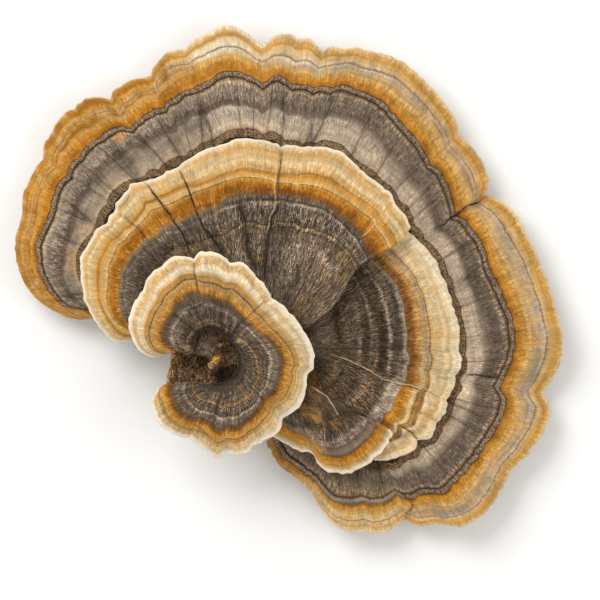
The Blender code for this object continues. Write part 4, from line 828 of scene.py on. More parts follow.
class FungusColours(bpy.types.PropertyGroup):
    """Colours of the zones, the flesh and the underside."""

    rim_white: colour_property("Rim white", "Fresh growth at the very margin", "FBF0DC")
    cream: colour_property("Cream", "Youngest zone", "E9D2A6")
    warm_cream: colour_property("Warm cream", "Young zone with some tan in it", "DDBB84")
    tan: colour_property("Tan", "Pale brown zone", "CD9E58")
    straw: colour_property("Straw", "Greyish tan zone", "AE9167")
    ochre: colour_property("Ochre", "Light orange zone", "C48C38")
    orange: colour_property("Orange", "Orange zone", "BD7A1B")
    deep_orange: colour_property("Deep orange", "Dark side of the orange zone", "925610")
    rust: colour_property("Rust", "Brown edge of the orange zone", "694522")
    beige: colour_property("Beige", "Greyish pale zone", "BCA587")
    bone: colour_property("Bone", "Pale grey zone", "C8B59F")
    fibre_grey: colour_property("Fibre grey", "Pale hair in grey zones", "A6947F")
    grey: colour_property("Grey", "Grey zone", "7D6C5B")
    dark_grey: colour_property("Dark grey", "Dark grey zone", "5A4B3D")
    mauve: colour_property("Mauve", "Bumpy ridge", "8A7A6B")
    crust: colour_property("Crust", "Old rough brown surface", "6D5B48")
    umber: colour_property("Umber", "Dark brown hair", "4A3929")
    charcoal: colour_property("Charcoal", "Old dark surface", "3F342A")
    # Near black is also used as painted shade: at the bottom of creases, on the funnel's inner wall, in its
    # hole, and as a shadow on the right cap.
    near_black: colour_property("Near black", "Bottom of creases", "241B13")
    olive: colour_property("Olive", "Specks on the old surface", "7B6338")
    pores: colour_property("Pores", "Pore surface underneath", "EBDFC4")
    flesh: colour_property("Flesh", "Cut and torn flesh", "CDB78E")


def smooth_step(x):
    x = np.clip(x, 0.0, 1.0)
    return x * x * (3.0 - 2.0 * x)


def smooth_curve(points, pieces):
    """Points spaced evenly along a smooth curve through the given ones."""
    p = np.array(points, float)
    p = np.vstack([2 * p[0] - p[1], p, 2 * p[-1] - p[-2]])
    t = np.linspace(0.0, 1.0, 24, endpoint=False)[:, None]
    runs = []
    for a, b, c, d in zip(p[:-3], p[1:-2], p[2:-1], p[3:]):
        bend = (2 * a - 5 * b + 4 * c - d) * t**2 + (3 * b - a - 3 * c + d) * t**3
        runs.append(0.5 * (2 * b + (c - a) * t + bend))
    dense = np.vstack([*runs, p[-2:-1]])
    length = np.append(0.0, np.cumsum(np.linalg.norm(np.diff(dense, axis=0), axis=1)))
    stops = np.linspace(0.0, length[-1], pieces + 1)
    return np.column_stack([np.interp(stops, length, dense[:, axis]) for axis in (0, 1)])


def cloudy(x, y, seed):
    """Smooth random values from -1 to 1 that change over about one unit of x and y."""
    lattice = np.random.default_rng(seed).uniform(-1.0, 1.0, (256, 256))
    x0, y0 = np.floor(x).astype(int), np.floor(y).astype(int)
    fx, fy = smooth_step(x - x0), smooth_step(y - y0)
    corners = [lattice[(x0 + i) % 256, (y0 + j) % 256] for i, j in ((0, 0), (1, 0), (0, 1), (1, 1))]
    low = corners[0] + (corners[1] - corners[0]) * fx
    high = corners[2] + (corners[3] - corners[2]) * fx
    return low + (high - low) * fy


def softened(values, count):
    """A running mean over the given number of columns."""
    count = max(1, int(count) // 2 * 2 + 1)
    padded = np.pad(values, count // 2, mode="edge")
    return np.convolve(padded, np.ones(count) / count, mode="valid")


def margin_of(outline, spacing):
    """The margin's points, their distance along it, and their place in a scallop, 0 to 1."""
    points, places = [np.array(outline[0], float)], [0.0]
    for scallop in outline[1:]:
        rough = smooth_curve([points[-1], *scallop], 60)
        length = np.linalg.norm(np.diff(rough, axis=0), axis=1).sum()
        pieces = max(4, round(length / spacing))
        points.extend(smooth_curve([points[-1], *scallop], pieces)[1:])
        places.extend(np.linspace(0.0, 1.0, pieces + 1)[1:])
    points, places = np.array(points), np.array(places)
    # The open ends get close columns, so that they can be rolled like the rim.
    for nearer in (0.7, 0.45, 0.2):
        points = np.insert(points, 1, points[0] + (points[1] - points[0]) * nearer, axis=0)
        places = np.insert(places, 1, places[1] * nearer)
        points = np.insert(points, -1, points[-1] + (points[-2] - points[-1]) * nearer, axis=0)
        places = np.insert(places, -1, 1.0 - (1.0 - places[-2]) * nearer)
    along = np.append(0.0, np.cumsum(np.linalg.norm(np.diff(points, axis=0), axis=1)))
    return points, along, places


class Rays:
    """The growth rays of a cap, one for every column of its mesh."""

    def __init__(self, outline, anchors, extend, spacing):
        self.spacing = spacing
        self.margin, self.along, self.place = margin_of(outline, spacing)
        self.root = self.between(anchors, 6.0)
        inwards = self.root - self.margin
        self.root = self.root + inwards * (extend / np.linalg.norm(inwards, axis=1, keepdims=True))
        self.ray = self.margin - self.root
        self.length = np.linalg.norm(self.ray, axis=1)

    def between(self, anchors, soft):
        """For each column the value between those that are given at points of the margin."""
        stops = [self.along[np.argmin(np.linalg.norm(self.margin - p, axis=1))] for p, _ in anchors]
        values = np.array([value for _, value in anchors], float).reshape(len(anchors), -1)
        rows = [softened(np.interp(self.along, stops, v), soft / self.spacing) for v in values.T]
        return np.column_stack(rows) if len(rows) > 1 else rows[0]

    def find(self, points):
        """Distance along the margin, and share of the ray, of each drawn point, in order."""
        found = []
        for point in np.array(points, float):
            share = ((point - self.root) * self.ray).sum(axis=1) / self.length**2
            miss = np.linalg.norm(point - self.root - share[:, None] * self.ray, axis=1)
            miss[(share < 0.02) | (share > 1.1)] = np.inf
            best = np.argmin(miss)
            found.append((self.along[best], share[best]))
        return np.array(found)

    def track(self, points, low=0.0, high=1.0):
        """The share at which every column crosses a drawn line, as a place between low and high."""
        found = self.find(points)
        found = found[np.argsort(found[:, 0])]
        low_at = np.interp(found[:, 0], self.along, np.broadcast_to(low, self.along.shape))
        high_at = np.interp(found[:, 0], self.along, np.broadcast_to(high, self.along.shape))
        place = (found[:, 1] - low_at) / (high_at - low_at)
        place = softened(np.interp(self.along, found[:, 0], place), 1.5 / self.spacing)
        return low + np.clip(place, 0.02, 0.98) * (high - low)


def zone_tracks(rays, lines, crest, ridge_width):
    """The share of each zone line on every column, root and margin included, rising outwards."""
    tracks = [np.ones_like(rays.along)]
    for line in reversed(lines):
        outer = crest is not None and len(tracks) < len(lines) - lines.index("crest")
        if line == "crest":
            tracks.append(crest)
        elif line == "ridge":
            tracks.append(crest + ridge_width / rays.length)
        elif isinstance(line, (int, float)):
            tracks.append(tracks[-1] - line / rays.length)
        elif outer:
            tracks.append(rays.track(line, crest, np.ones_like(crest)))
        else:
            tracks.append(rays.track(line, 0.0, 1.0 if crest is None else crest))
    tracks.append(np.zeros_like(rays.along))
    rising = np.array(tracks[::-1])
    for k in range(1, len(rising) - 1):
        rising[k] = np.maximum(rising[k], rising[k - 1] + 0.004)
    for k in range(len(rising) - 2, 0, -1):
        rising[k] = np.minimum(rising[k], rising[k + 1] - 0.004)
    return rising


def zones_at(shares, tracks):
    """The zone number of points at these shares, from 0 at the root to the last at the margin."""
    zone = np.zeros_like(shares)
    for low, high in zip(tracks[:-1], tracks[1:]):
        zone += np.clip((shares - low) / (high - low), 0.0, 1.0)
    return zone


def wandering(points):
    """The points moved a little sideways, so that what is drawn over them isn't ruler-straight."""
    x, y = points[..., 0], points[..., 1]
    broad = [0.15 * cloudy(x / 1.5 + 60.0, y / 1.5 + 60.0, seed) for seed in (91, 92)]
    fine = [0.08 * cloudy(x / 0.4 + 150.0, y / 0.4 + 150.0, seed) for seed in (91, 92)]
    return points + np.stack(broad, axis=-1) + np.stack(fine, axis=-1)


def distance_to(lines, points):
    """Distance in the plane from each point to the nearest line. Faint lines and the ends of
    all lines are held off, so that they come out thinner."""
    nearest = np.full(points.shape[:-1], LINE_REACH)
    for line, strength in lines:
        stops = smooth_curve(line, 6 * (len(line) - 1))
        low, high = stops.min(axis=0) - LINE_REACH, stops.max(axis=0) + LINE_REACH
        inside = ((points > low) & (points < high)).all(axis=-1)
        chosen = points[inside]
        best = np.full(len(chosen), LINE_REACH)
        held = (1.0 - strength) * 0.3 + 0.15 * abs(np.linspace(-1.0, 1.0, len(stops))) ** 6
        for a, b, hold in zip(stops[:-1], stops[1:], held):
            t = np.clip(((chosen - a) @ (b - a)) / ((b - a) @ (b - a)), 0.0, 1.0)
            best = np.minimum(best, np.linalg.norm(chosen - a - t[:, None] * (b - a), axis=1) + hold)
        nearest[inside] = np.minimum(nearest[inside], best)
    return nearest


def strokes_at(strokes, points):
    """The sum at each point of soft strokes, each with a half width and a level."""
    total = np.zeros(points.shape[:-1])
    for line, half, level in strokes:
        total += level * np.exp(-((distance_to([(line, 1.0)], points) / half) ** 2))
    return np.clip(total, -1.0, 1.0)


def bow(edge, root, tip, shares):
    """How far a bent edge lies off the straight ray, at each share."""
    bent = smooth_curve(edge, 60)
    knots = np.linspace(0.0, 1.0, len(bent))
    off = bent - (root + knots[:, None] * (tip - root))
    return np.stack([np.interp(shares, knots, off[:, axis]) for axis in (0, 1)], axis=-1)


def fold_relief(fold, rays, shares):
    """What a fold adds to the height: one side of its line stands over the other."""
    line, height, side, reach = fold
    where = rays.find(line)
    where = where[np.argsort(where[:, 1])]
    start = np.interp(shares, where[:, 1], where[:, 0])
    across = (rays.along - start) * side * shares
    step = smooth_step(across / FOLD_WIDTH + 0.5) - 0.5
    fade = smooth_step((shares - where[0, 1]) / (1.0 - where[0, 1]) * 1.6)
    return height * step * np.exp(-((across / reach) ** 2)) * fade


def broad_height(cap, rays, shares):
    """Height of a cap's upper side without its fine relief."""
    knots = np.linspace(0.0, 1.0, 401)
    profile = softened(np.interp(knots, *zip(*cap["profile"])), 25)
    height = np.interp(shares, knots, profile)
    height = height + rays.between(cap["lifts"], 3.0) * shares**3
    dome = 4.0 * rays.place * (1.0 - rays.place) - 0.5
    height += SCALLOP_CROWN * dome * smooth_step((shares - 0.72) / 0.28)
    for fold in cap["folds"]:
        height += fold_relief(fold, rays, shares)
    return height


def ribs_at(cap, rays, shares):
    """Values from -1 to 1 along the margin that are 0 in the valleys between the radial ribs."""
    out = shares * rays.length
    along = rays.along + 0.25 * cloudy(rays.along / 2.0, out / 5.0, cap["seed"] + 8)
    gaps = cloudy(rays.along / 2.2, out / 9.0, cap["seed"] + 9)
    return cloudy(along / cap["rib_width"], out / 60.0, cap["seed"] + 10) + 0.3 * np.maximum(gaps, 0.0)


def fine_relief(cap, rays, shares, zone, crease, pale_and_lit_edge, rib, crest, ridge, sizes):
    """Ribs, furrows, waves, rings, creases, rims and the ridge, as a height over the broad form."""
    out = shares * rays.length
    along = np.broadcast_to(rays.along, shares.shape)
    young = smooth_step((shares - 0.15) / 0.4)
    seed = cap["seed"]
    height = sizes.wave * 0.5 * cloudy(along / 5.5, out / 14.0, seed) * young
    old = smooth_step((shares - 0.05) / 0.2) * smooth_step((cap["ribs_end"] - zone) / 0.4)
    height += cap["rib_height"] * (np.minimum(abs(rib), 0.4) / 0.4 - 0.6) * old
    height += 0.15 * np.exp(-((pale_and_lit_edge / 0.3) ** 2))
    height += sizes.furrow * cloudy(along / 1.3, out / 9.0, seed + 1) * young
    height += sizes.furrow * 0.5 * cloudy(along / 0.6, out / 5.0, seed + 2)
    height += sizes.ring * 0.5 * cloudy(zone * 3.0, along / 22.0, seed + 3)
    height += sizes.ring * 0.3 * cloudy(zone * 8.0, along / 14.0, seed + 4)
    height -= sizes.crease * np.exp(-((crease / 0.18) ** 2))
    if crest is not None:
        beads = 0.75 + 0.35 * cloudy(along / 0.8, out / 0.7, seed + 5)
        off = (shares - crest) * rays.length / ridge - 0.5
        height += sizes.ridge * beads * np.exp(-((off / 0.42) ** 4))
        height -= 0.08 * np.exp(-(((off + 0.62) / 0.14) ** 2))
        old = smooth_step((2.0 - zone) / 0.15)
        height += 0.18 * old * cloudy(along / 0.5, out / 0.45, seed + 6)
    return height


def add_grid(name, columns, rows):
    """A flat grid to be shaped, with columns along x and rows along y."""
    bpy.ops.object.select_all(action="DESELECT")
    bpy.ops.mesh.primitive_grid_add(x_subdivisions=columns - 1, y_subdivisions=rows - 1, size=1.0)
    piece = bpy.context.object
    piece.name = name
    piece.data.name = name
    return piece


def shape_grid(piece, points, attributes):
    """Moves a grid's points, given as rows of columns in millimetres, and notes what they are."""
    mesh = piece.data
    mesh.vertices.foreach_set("co", (points * MM).astype(np.float32).ravel())
    for name, values in attributes.items():
        kind = "FLOAT_VECTOR" if values.ndim == 3 else "FLOAT"
        attribute = mesh.attributes.new(name, kind, "POINT")
        field = "vector" if values.ndim == 3 else "value"
        attribute.data.foreach_set(field, values.astype(np.float32).ravel())
    mesh.update()


def wall_ends(piece, columns, n_top, n_under):
    """Joins the upper and the lower side of a cap by a strip of faces at its first and last column."""
    mesh = piece.data
    pairs = np.empty(2 * len(mesh.edges), dtype=np.int32)
    mesh.edges.foreach_get("vertices", pairs)
    row, column = np.divmod(pairs.reshape(-1, 2), columns)
    above = (row < n_top).all(axis=1)
    below = (row >= len(mesh.vertices) // columns - n_under).all(axis=1)
    edge_mode = (False, True, False)
    for end in (0, columns - 1):
        bpy.context.tool_settings.mesh_select_mode = edge_mode
        bpy.ops.object.mode_set(mode="EDIT")
        bpy.ops.mesh.select_all(action="DESELECT")
        bpy.ops.object.mode_set(mode="OBJECT")
        chosen = np.zeros(len(mesh.edges), dtype=bool)
        chosen[:len(row)] = (column == end).all(axis=1) & (above | below)
        mesh.edges.foreach_set("select", chosen)
        bpy.ops.object.mode_set(mode="EDIT")
        bpy.ops.mesh.bridge_edge_loops()
        bpy.ops.object.mode_set(mode="OBJECT")
    bpy.context.tool_settings.mesh_select_mode = (True, False, False)


def close_piece(piece):
    """Joins the meeting rows, caps the open ends and shades the piece smooth."""
    bpy.ops.object.select_all(action="DESELECT")
    piece.select_set(True)
    bpy.context.view_layer.objects.active = piece
    bpy.ops.object.mode_set(mode="EDIT")
    bpy.ops.mesh.select_all(action="SELECT")
    bpy.ops.mesh.remove_doubles(threshold=1e-6)
    bpy.ops.mesh.fill_holes(sides=0)
    bpy.ops.mesh.normals_make_consistent(inside=False)
    bpy.ops.mesh.select_all(action="DESELECT")
    bpy.ops.mesh.select_non_manifold()
    bpy.ops.object.mode_set(mode="OBJECT")
    if any(edge.select for edge in piece.data.edges):
        raise RuntimeError(piece.name + " isn't closed")
    bpy.ops.object.shade_smooth()
    bpy.ops.object.transform_apply(location=True, rotation=True, scale=True)


def spread(bands):
    """Rows between the given shares: pairs of a share and the number of rows up to it."""
    rows, start = [bands[0][0]], bands[0][0]
    for stop, count in bands[1:]:
        rows.extend(np.linspace(start, stop, count + 1)[1:])
        start = stop
    return rows


def model_cap(name, cap, sizes):
    """One cap: upper side from root to margin, rolled rim, and lower side back to the root."""
    spacing = sizes.column * cap.get("column_scale", 1.0)
    rays = Rays(cap["outline"], cap["rays"], cap.get("extend", 0.0), spacing)
    crest = rays.track(cap["crest"]) if "crest" in cap else None
    ridge = sizes.ridge_width
    if crest is not None:
        crest += CREST_WOBBLE * cloudy(rays.along / 0.9, 0.0 * crest, cap["seed"] + 12) / rays.length
        ridge = ridge * (1.0 + 0.2 * cloudy(rays.along / 1.2, 0.0 * crest, cap["seed"] + 13))
    tracks = zone_tracks(rays, cap["lines"], crest, ridge)
    rim = sizes.rim
    reach = 1.0 - rim / rays.length

    def to_shares(rows):
        rows = np.array(rows)[:, None]
        if crest is None:
            return rows * reach
        outer = crest + (1.0 - crest) * (rows - 1.0)
        return np.where(rows < 1.0, rows * crest, outer) * reach

    top = to_shares(spread(cap["rows"]))
    under = to_shares(spread(cap["under_rows"])[::-1])
    turns = np.radians(RIM_TURNS)[:, None]
    arc = reach + rim / rays.length * np.cos(turns)
    shares = np.vstack([top, arc, under])
    n_top, n_arc = len(top), len(arc)

    uneven = MARGIN_WOBBLE * cloudy(rays.along / 0.8, 0.0 * rays.along, cap["seed"] + 14) / rays.length
    flat = rays.root + (shares * (1.0 + uneven * smooth_step((shares - 0.8) / 0.2)))[..., None] * rays.ray
    for edge, column in zip(cap.get("edges", (None, None)), (0, -1)):
        if edge:
            weight = 1.0 - smooth_step(abs(rays.along - rays.along[column]) / END_BOW_REACH)
            off = bow(edge, rays.root[column], rays.margin[column], shares[:, column])
            flat = flat + weight[None, :, None] * off[:, None, :]

    zone = zones_at(shares, tracks)
    drawn = wandering(flat)
    crease = distance_to(cap["creases"], drawn)
    pale_and_lit_edge = distance_to(cap["rims"], drawn)
    # Shade strokes: painted shade in valleys and beside folds, painted light on crests, and the caps' own
    # darker and lighter patches.
    shade = strokes_at(cap["shades"], drawn)
    rib = ribs_at(cap, rays, shares)
    broad = broad_height(cap, rays, np.minimum(shares, reach))
    inwards = np.cos(np.clip(shares, 0.0, 1.0) * np.pi / 2) ** 0.8
    wall = 2 * rim + (cap.get("root_wall", WALL_AT_ROOT) - 2 * rim) * inwards
    middle = broad - wall / 2
    height = broad + fine_relief(cap, rays, shares, zone, crease, pale_and_lit_edge, rib, crest, ridge, sizes)
    height += SHADE_RELIEF * shade
    rim_centre = height[n_top - 1] - rim
    height[n_top:n_top + n_arc] = rim_centre + rim * np.sin(turns)
    lower = broad[n_top + n_arc:] - wall[n_top + n_arc:]
    lower += 0.12 * cloudy(rays.along / 3.0, under * rays.length / 7.0, cap["seed"] + 7)
    near_rim = smooth_step((under / reach - 0.9) / 0.1)
    height[n_top + n_arc:] = lower + (rim_centre - rim - lower) * near_rim
    middle[n_top:n_top + n_arc] = rim_centre

    end = np.minimum(rays.along, rays.along[-1] - rays.along)
    roll = np.clip(end / rim, 0.0, 1.0)
    pinch = np.maximum(np.sqrt(1.0 - (1.0 - roll) ** 2), 0.12)
    height = middle + (height - middle) * pinch
    height[-1] = height[0] = (height[0] + height[-1]) / 2
    flat[-1] = flat[0]

    side = np.zeros_like(shares)
    side[n_top + n_arc // 2 + 1:] = 1.0
    side[n_top + n_arc // 2] = 0.5
    widths = np.diff(tracks, axis=0) * rays.length
    numbers = np.arange(len(tracks))
    ring = np.interp(zone, numbers, np.append(0.0, np.cumsum(widths.mean(axis=1))))
    lay = np.dstack([np.broadcast_to(rays.along, shares.shape), shares * rays.length, ring])
    inner = np.clip(np.floor(zone).astype(int), 0, len(widths) - 1)
    fray = np.interp(zone, numbers, cap["fray"]) / np.take_along_axis(widths, inner, axis=0)
    tones = np.zeros((len(rays.along), 3))
    if "tones" in cap:
        tones = rays.between(cap["tones"], cap.get("tone_blur", 4.0))
    looks = np.broadcast_to(tones, (*shares.shape, 3))
    from_edge = (1.0 - shares) * rays.length
    piece = add_grid(name, len(rays.along), len(shares))
    shape_grid(
        piece, np.dstack([flat, height]),
        {
            "zone": zone, "fray": fray, "lay": lay, "looks": looks, "crease": crease, "pale_and_lit_edge": pale_and_lit_edge,
            "rib": rib, "felt": np.interp(zone, numbers, cap["felt"]), "from_edge": from_edge, "under": side,
            "shade": shade, "stain": strokes_at(cap["stains"], drawn),
        },
    )
    wall_ends(piece, len(rays.along), n_top, len(under))
    close_piece(piece)
    return piece


# Mix nodes of colours: input 0 is the share, 6 and 7 are the colours, output 2 is the mixture.
MIXED = {"data_type": "RGBA"}
MULTIPLIED = {"data_type": "RGBA", "blend_type": "MULTIPLY"}
SOFTLY = {"interpolation_type": "SMOOTHSTEP"}


def add(tree, kind, inputs=(), output=0, **settings):
    """Adds a shader node with its settings, sets or links its inputs by place or name, and
    gives one of its outputs."""
    made = tree.nodes.new("ShaderNode" + kind)
    for key, value in settings.items():
        setattr(made, key, value)
    for key, value in inputs.items() if isinstance(inputs, dict) else enumerate(inputs):
        if isinstance(value, bpy.types.NodeSocket):
            tree.links.new(value, made.inputs[key])
        else:
            made.inputs[key].default_value = value
    return made.outputs[output]


def opaque(colour):
    return (*colour, 1.0)


def fill_ramp(ramp, stops):
    """Sets the stops of a colour ramp, given as places from 0 to 1 and linear colours."""
    elements = ramp.elements
    while len(elements) > 1:
        elements.remove(elements[-1])
    elements[0].position = stops[0][0]
    elements[0].color = opaque(stops[0][1])
    for place, colour in stops[1:]:
        elements.new(place).color = opaque(colour)


def line_stops(lines, last):
    """A ramp that is white but for thin dark lines across the zones."""
    stops = [(0.0, (1.0, 1.0, 1.0))]
    for zone, half, dark in lines:
        for off, level in ((-half, 1.0), (-half * 0.3, 1.0 - dark), (half * 0.3, 1.0 - dark), (half, 1.0)):
            stops.append(((zone + off) / last, (level,) * 3))
    return stops


def cap_material(name, cap, sizes, colours):
    """Velvety zoned cap: short felted hair lies outwards over flesh that changes colour zone
    by zone. Dry and matt, with a faint sheen where the hair is seen along its length."""
    material = bpy.data.materials.new(name)
    material.use_nodes = True
    tree = material.node_tree
    shader = tree.nodes["Principled BSDF"]
    last = float(len(cap["lines"]) + 1)
    zone, fray, crease, pale_and_lit_edge, rib, felt, from_edge, under, shade, stain = (
        add(tree, "Attribute", (), "Fac", attribute_name=wanted)
        for wanted in (
            "zone", "fray", "crease", "pale_and_lit_edge", "rib", "felt", "from_edge", "under", "shade", "stain"
        )
    )
    lay = add(tree, "Attribute", (), "Vector", attribute_name="lay")
    looks = add(tree, "Attribute", (), "Vector", attribute_name="looks")
    place = add(tree, "TexCoord", (), "Object")
    place = add(tree, "VectorMath", (place, (1 / MM,) * 3), operation="MULTIPLY")

    # Noises, each over millimetres: the scale along every axis, detail, distortion. Hairs are
    # 0.05 mm wide on the real cap, and drawn at four times that so that they show. Rings are
    # half a millimetre apart, patches run outwards.
    noises = []
    for vector, scale, detail, twist in (
        (lay, (1 / sizes.hair, 1 / sizes.hair_length, 0.0), 2.0, 0.6),
        (lay, (3.0, 0.4, 0.0), 2.0, 0.3),
        (lay, (1.6, 0.2, 0.0), 2.0, 0.0),
        (place, (5.0, 5.0, 5.0), 2.0, 0.0),
        (place, (0.4, 0.4, 0.4), 3.0, 0.0),
        (lay, (0.11, 0.0, 2.0), 2.0, 0.0),
        (lay, (0.38, 0.045, 0.0), 2.0, 0.0),
    ):
        moved = add(tree, "VectorMath", (vector, scale, (len(noises) * 3.1,) * 3), operation="MULTIPLY_ADD")
        noises.append(add(
            tree, "TexNoise",
            {"Vector": moved, "Scale": 1.0, "Detail": detail, "Roughness": 0.6, "Distortion": twist}, "Fac",
        ))
    hair, strands, locks, grain, blotches, rings, patches = noises
    # Single strokes of hair: long narrow cells, each with a level of its own.
    bent = add(tree, "VectorMath", (strands, (0.5, 0.0, 0.0), lay), operation="MULTIPLY_ADD")
    cells = add(tree, "VectorMath", (bent, (4.6, 1.2, 0.0)), operation="MULTIPLY")
    cells = add(tree, "TexVoronoi", {"Vector": cells, "Scale": 1.0}, "Color", voronoi_dimensions="2D")
    strokes = add(tree, "SeparateColor", (cells,), "Red")
    velvet = add(tree, "Math", (strokes, 0.32, hair), operation="MULTIPLY_ADD")
    velvet = add(tree, "Math", (grain, 0.9, velvet), operation="MULTIPLY_ADD")
    velvet = add(tree, "MapRange", (velvet, 0.88, 1.42, -1.0, 1.0))

    # The zone that shows is torn a little along the hair.
    torn = add(tree, "Math", (blotches, 1.2, locks), operation="MULTIPLY_ADD")
    torn = add(tree, "Math", (velvet, 0.15, torn), operation="MULTIPLY_ADD")
    torn = add(tree, "Math", (torn, 1.1), operation="SUBTRACT")
    torn = add(tree, "Math", (torn, fray, zone), operation="MULTIPLY_ADD")
    torn = add(tree, "Math", (torn, last), operation="DIVIDE")
    over = add(tree, "Math", (locks, 1.5, velvet), operation="MULTIPLY_ADD")
    over = add(tree, "MapRange", (over, 0.05, 1.45, 0.2, 0.8))

    weights = add(tree, "SeparateXYZ", (looks,)).node
    colour = None
    for number, look in enumerate(cap["looks"]):
        zones = [stop.split() for stop in look.split(",")]
        ramps = [add(tree, "ValToRGB", (torn,)) for layer in (1, 2)]
        for layer, ramp in enumerate(ramps, 1):
            stops = [(float(stop[0]) / last, getattr(colours, stop[layer])) for stop in zones]
            fill_ramp(ramp.node.color_ramp, stops)
        painted = add(tree, "Mix", {0: over, 6: ramps[0], 7: ramps[1]}, 2, **MIXED)
        if number:
            weight = add(tree, "Math", (blotches, 0.9, weights.outputs[number - 1]), operation="MULTIPLY_ADD")
            weight = add(tree, "MapRange", (weight, 0.45, 1.3, 0.0, 1.0))
            painted = add(tree, "Mix", {0: weight, 6: colour, 7: painted}, 2, **MIXED)
        colour = painted

    # Broad unevenness, then the hair's own light and dark, strongest in the grey zones.
    for value, dark, light in (
        (rings, 0.81, 1.15), (strands, 0.93, 1.06), (locks, 0.92, 1.07), (blotches, 0.88, 1.1),
        (patches, 0.88, 1.09),
    ):
        level = add(tree, "MapRange", (value, 0.3, 0.7, dark, light), **SOFTLY)
        colour = add(tree, "Mix", {0: 1.0, 6: colour, 7: level}, 2, **MULTIPLIED)
    tinted = opaque(getattr(colours, cap["stain"]))
    colour = add(tree, "Mix", {0: stain, 6: colour, 7: tinted}, 2, **MIXED)
    # Golden patches, a few millimetres long, on the young zones where there is little hair.
    golden = add(tree, "Math", (patches, blotches), operation="ADD")
    golden = add(tree, "MapRange", (golden, 0.98, 1.2, 0.0, 0.4), **SOFTLY)
    bald = add(tree, "MapRange", (felt, 0.6, 0.3, 0.0, 1.0))
    golden = add(tree, "Math", (golden, bald), operation="MULTIPLY")
    colour = add(tree, "Mix", {0: golden, 6: colour, 7: opaque(colours.ochre)}, 2, **MIXED)
    # The hair's light and dark, and the shade strokes: painted shade in valleys and beside folds, painted
    # light on crests, and the caps' own darker and lighter patches.
    level = add(tree, "Math", (velvet, felt), operation="MULTIPLY")
    level = add(tree, "Math", (shade, 1.1, level), operation="MULTIPLY_ADD")
    level = add(tree, "Math", (2.4, level), operation="POWER")
    level = add(tree, "Math", (level, 0.94), operation="MULTIPLY")
    colour = add(tree, "Mix", {0: 1.0, 6: colour, 7: level}, 2, **MULTIPLIED)

    # Specks of algae on the old part.
    speck = add(tree, "MapRange", (grain, 0.5, 0.6, 0.0, 0.6), **SOFTLY)
    older = add(tree, "MapRange", (zone, cap["specks"], cap["specks"] * 0.4, 0.0, 1.0))
    speck = add(tree, "Math", (speck, older), operation="MULTIPLY")
    spread_out = add(tree, "MapRange", (blotches, 0.42, 0.58, 0.0, 1.0))
    speck = add(tree, "Math", (speck, spread_out), operation="MULTIPLY")
    colour = add(tree, "Mix", {0: speck, 6: colour, 7: opaque(colours.olive)}, 2, **MIXED)

    # Thin dark lines between the zones, broken here and there.
    wavy = add(tree, "Math", (grain, 0.5, locks), operation="MULTIPLY_ADD")
    wavy = add(tree, "Math", (wavy, 0.75), operation="SUBTRACT")
    wavy = add(tree, "Math", (wavy, fray, zone), operation="MULTIPLY_ADD")
    lines = add(tree, "ValToRGB", (add(tree, "Math", (wavy, last), operation="DIVIDE"),))
    fill_ramp(lines.node.color_ramp, line_stops(cap["dark_lines"], last))
    lined = add(tree, "Mix", {0: 1.0, 6: colour, 7: lines}, 2, **MULTIPLIED)
    broken = add(tree, "MapRange", (blotches, 0.3, 0.5, 0.5, 1.0))
    colour = add(tree, "Mix", {0: broken, 6: colour, 7: lined}, 2, **MIXED)

    relief = add(tree, "Math", (rings, 0.8, hair), operation="MULTIPLY_ADD")
    relief = add(tree, "Math", (grain, 0.8, relief), operation="MULTIPLY_ADD")
    if "crusts" in cap:
        # Rough crust, light and dark flecks of a quarter of a millimetre.
        rough_part = add(tree, "MapRange", (weights.outputs[1], 0.2, 0.8, 1.0, 0.1))
        flecks = add(tree, "Math", (strokes, 0.14, grain), operation="MULTIPLY_ADD")
        crumbs = add(tree, "ValToRGB", (flecks,))
        fill_ramp(crumbs.node.color_ramp, [
            (0.38, colours.near_black), (0.46, colours.umber), (0.53, colours.crust), (0.61, colours.grey),
            (0.7, colours.fibre_grey), (0.8, colours.beige),
        ])
        for low, high, level in cap["crusts"]:
            inner = add(tree, "MapRange", (wavy, low - 0.04, low + 0.04, 0.0, 1.0))
            outer = add(tree, "MapRange", (wavy, high + 0.04, high - 0.04, 0.0, 0.9))
            crusty = add(tree, "Math", (inner, outer), operation="MULTIPLY")
            dimmed = add(tree, "Mix", {0: 1.0, 6: crumbs, 7: opaque(level)}, 2, **MULTIPLIED)
            crusty = add(tree, "Math", (crusty, rough_part), operation="MULTIPLY")
            colour = add(tree, "Mix", {0: crusty, 6: colour, 7: dimmed}, 2, **MIXED)
            raised = add(tree, "Math", (crusty, flecks), operation="MULTIPLY")
            relief = add(tree, "Math", (raised, 3.0, relief), operation="MULTIPLY_ADD")

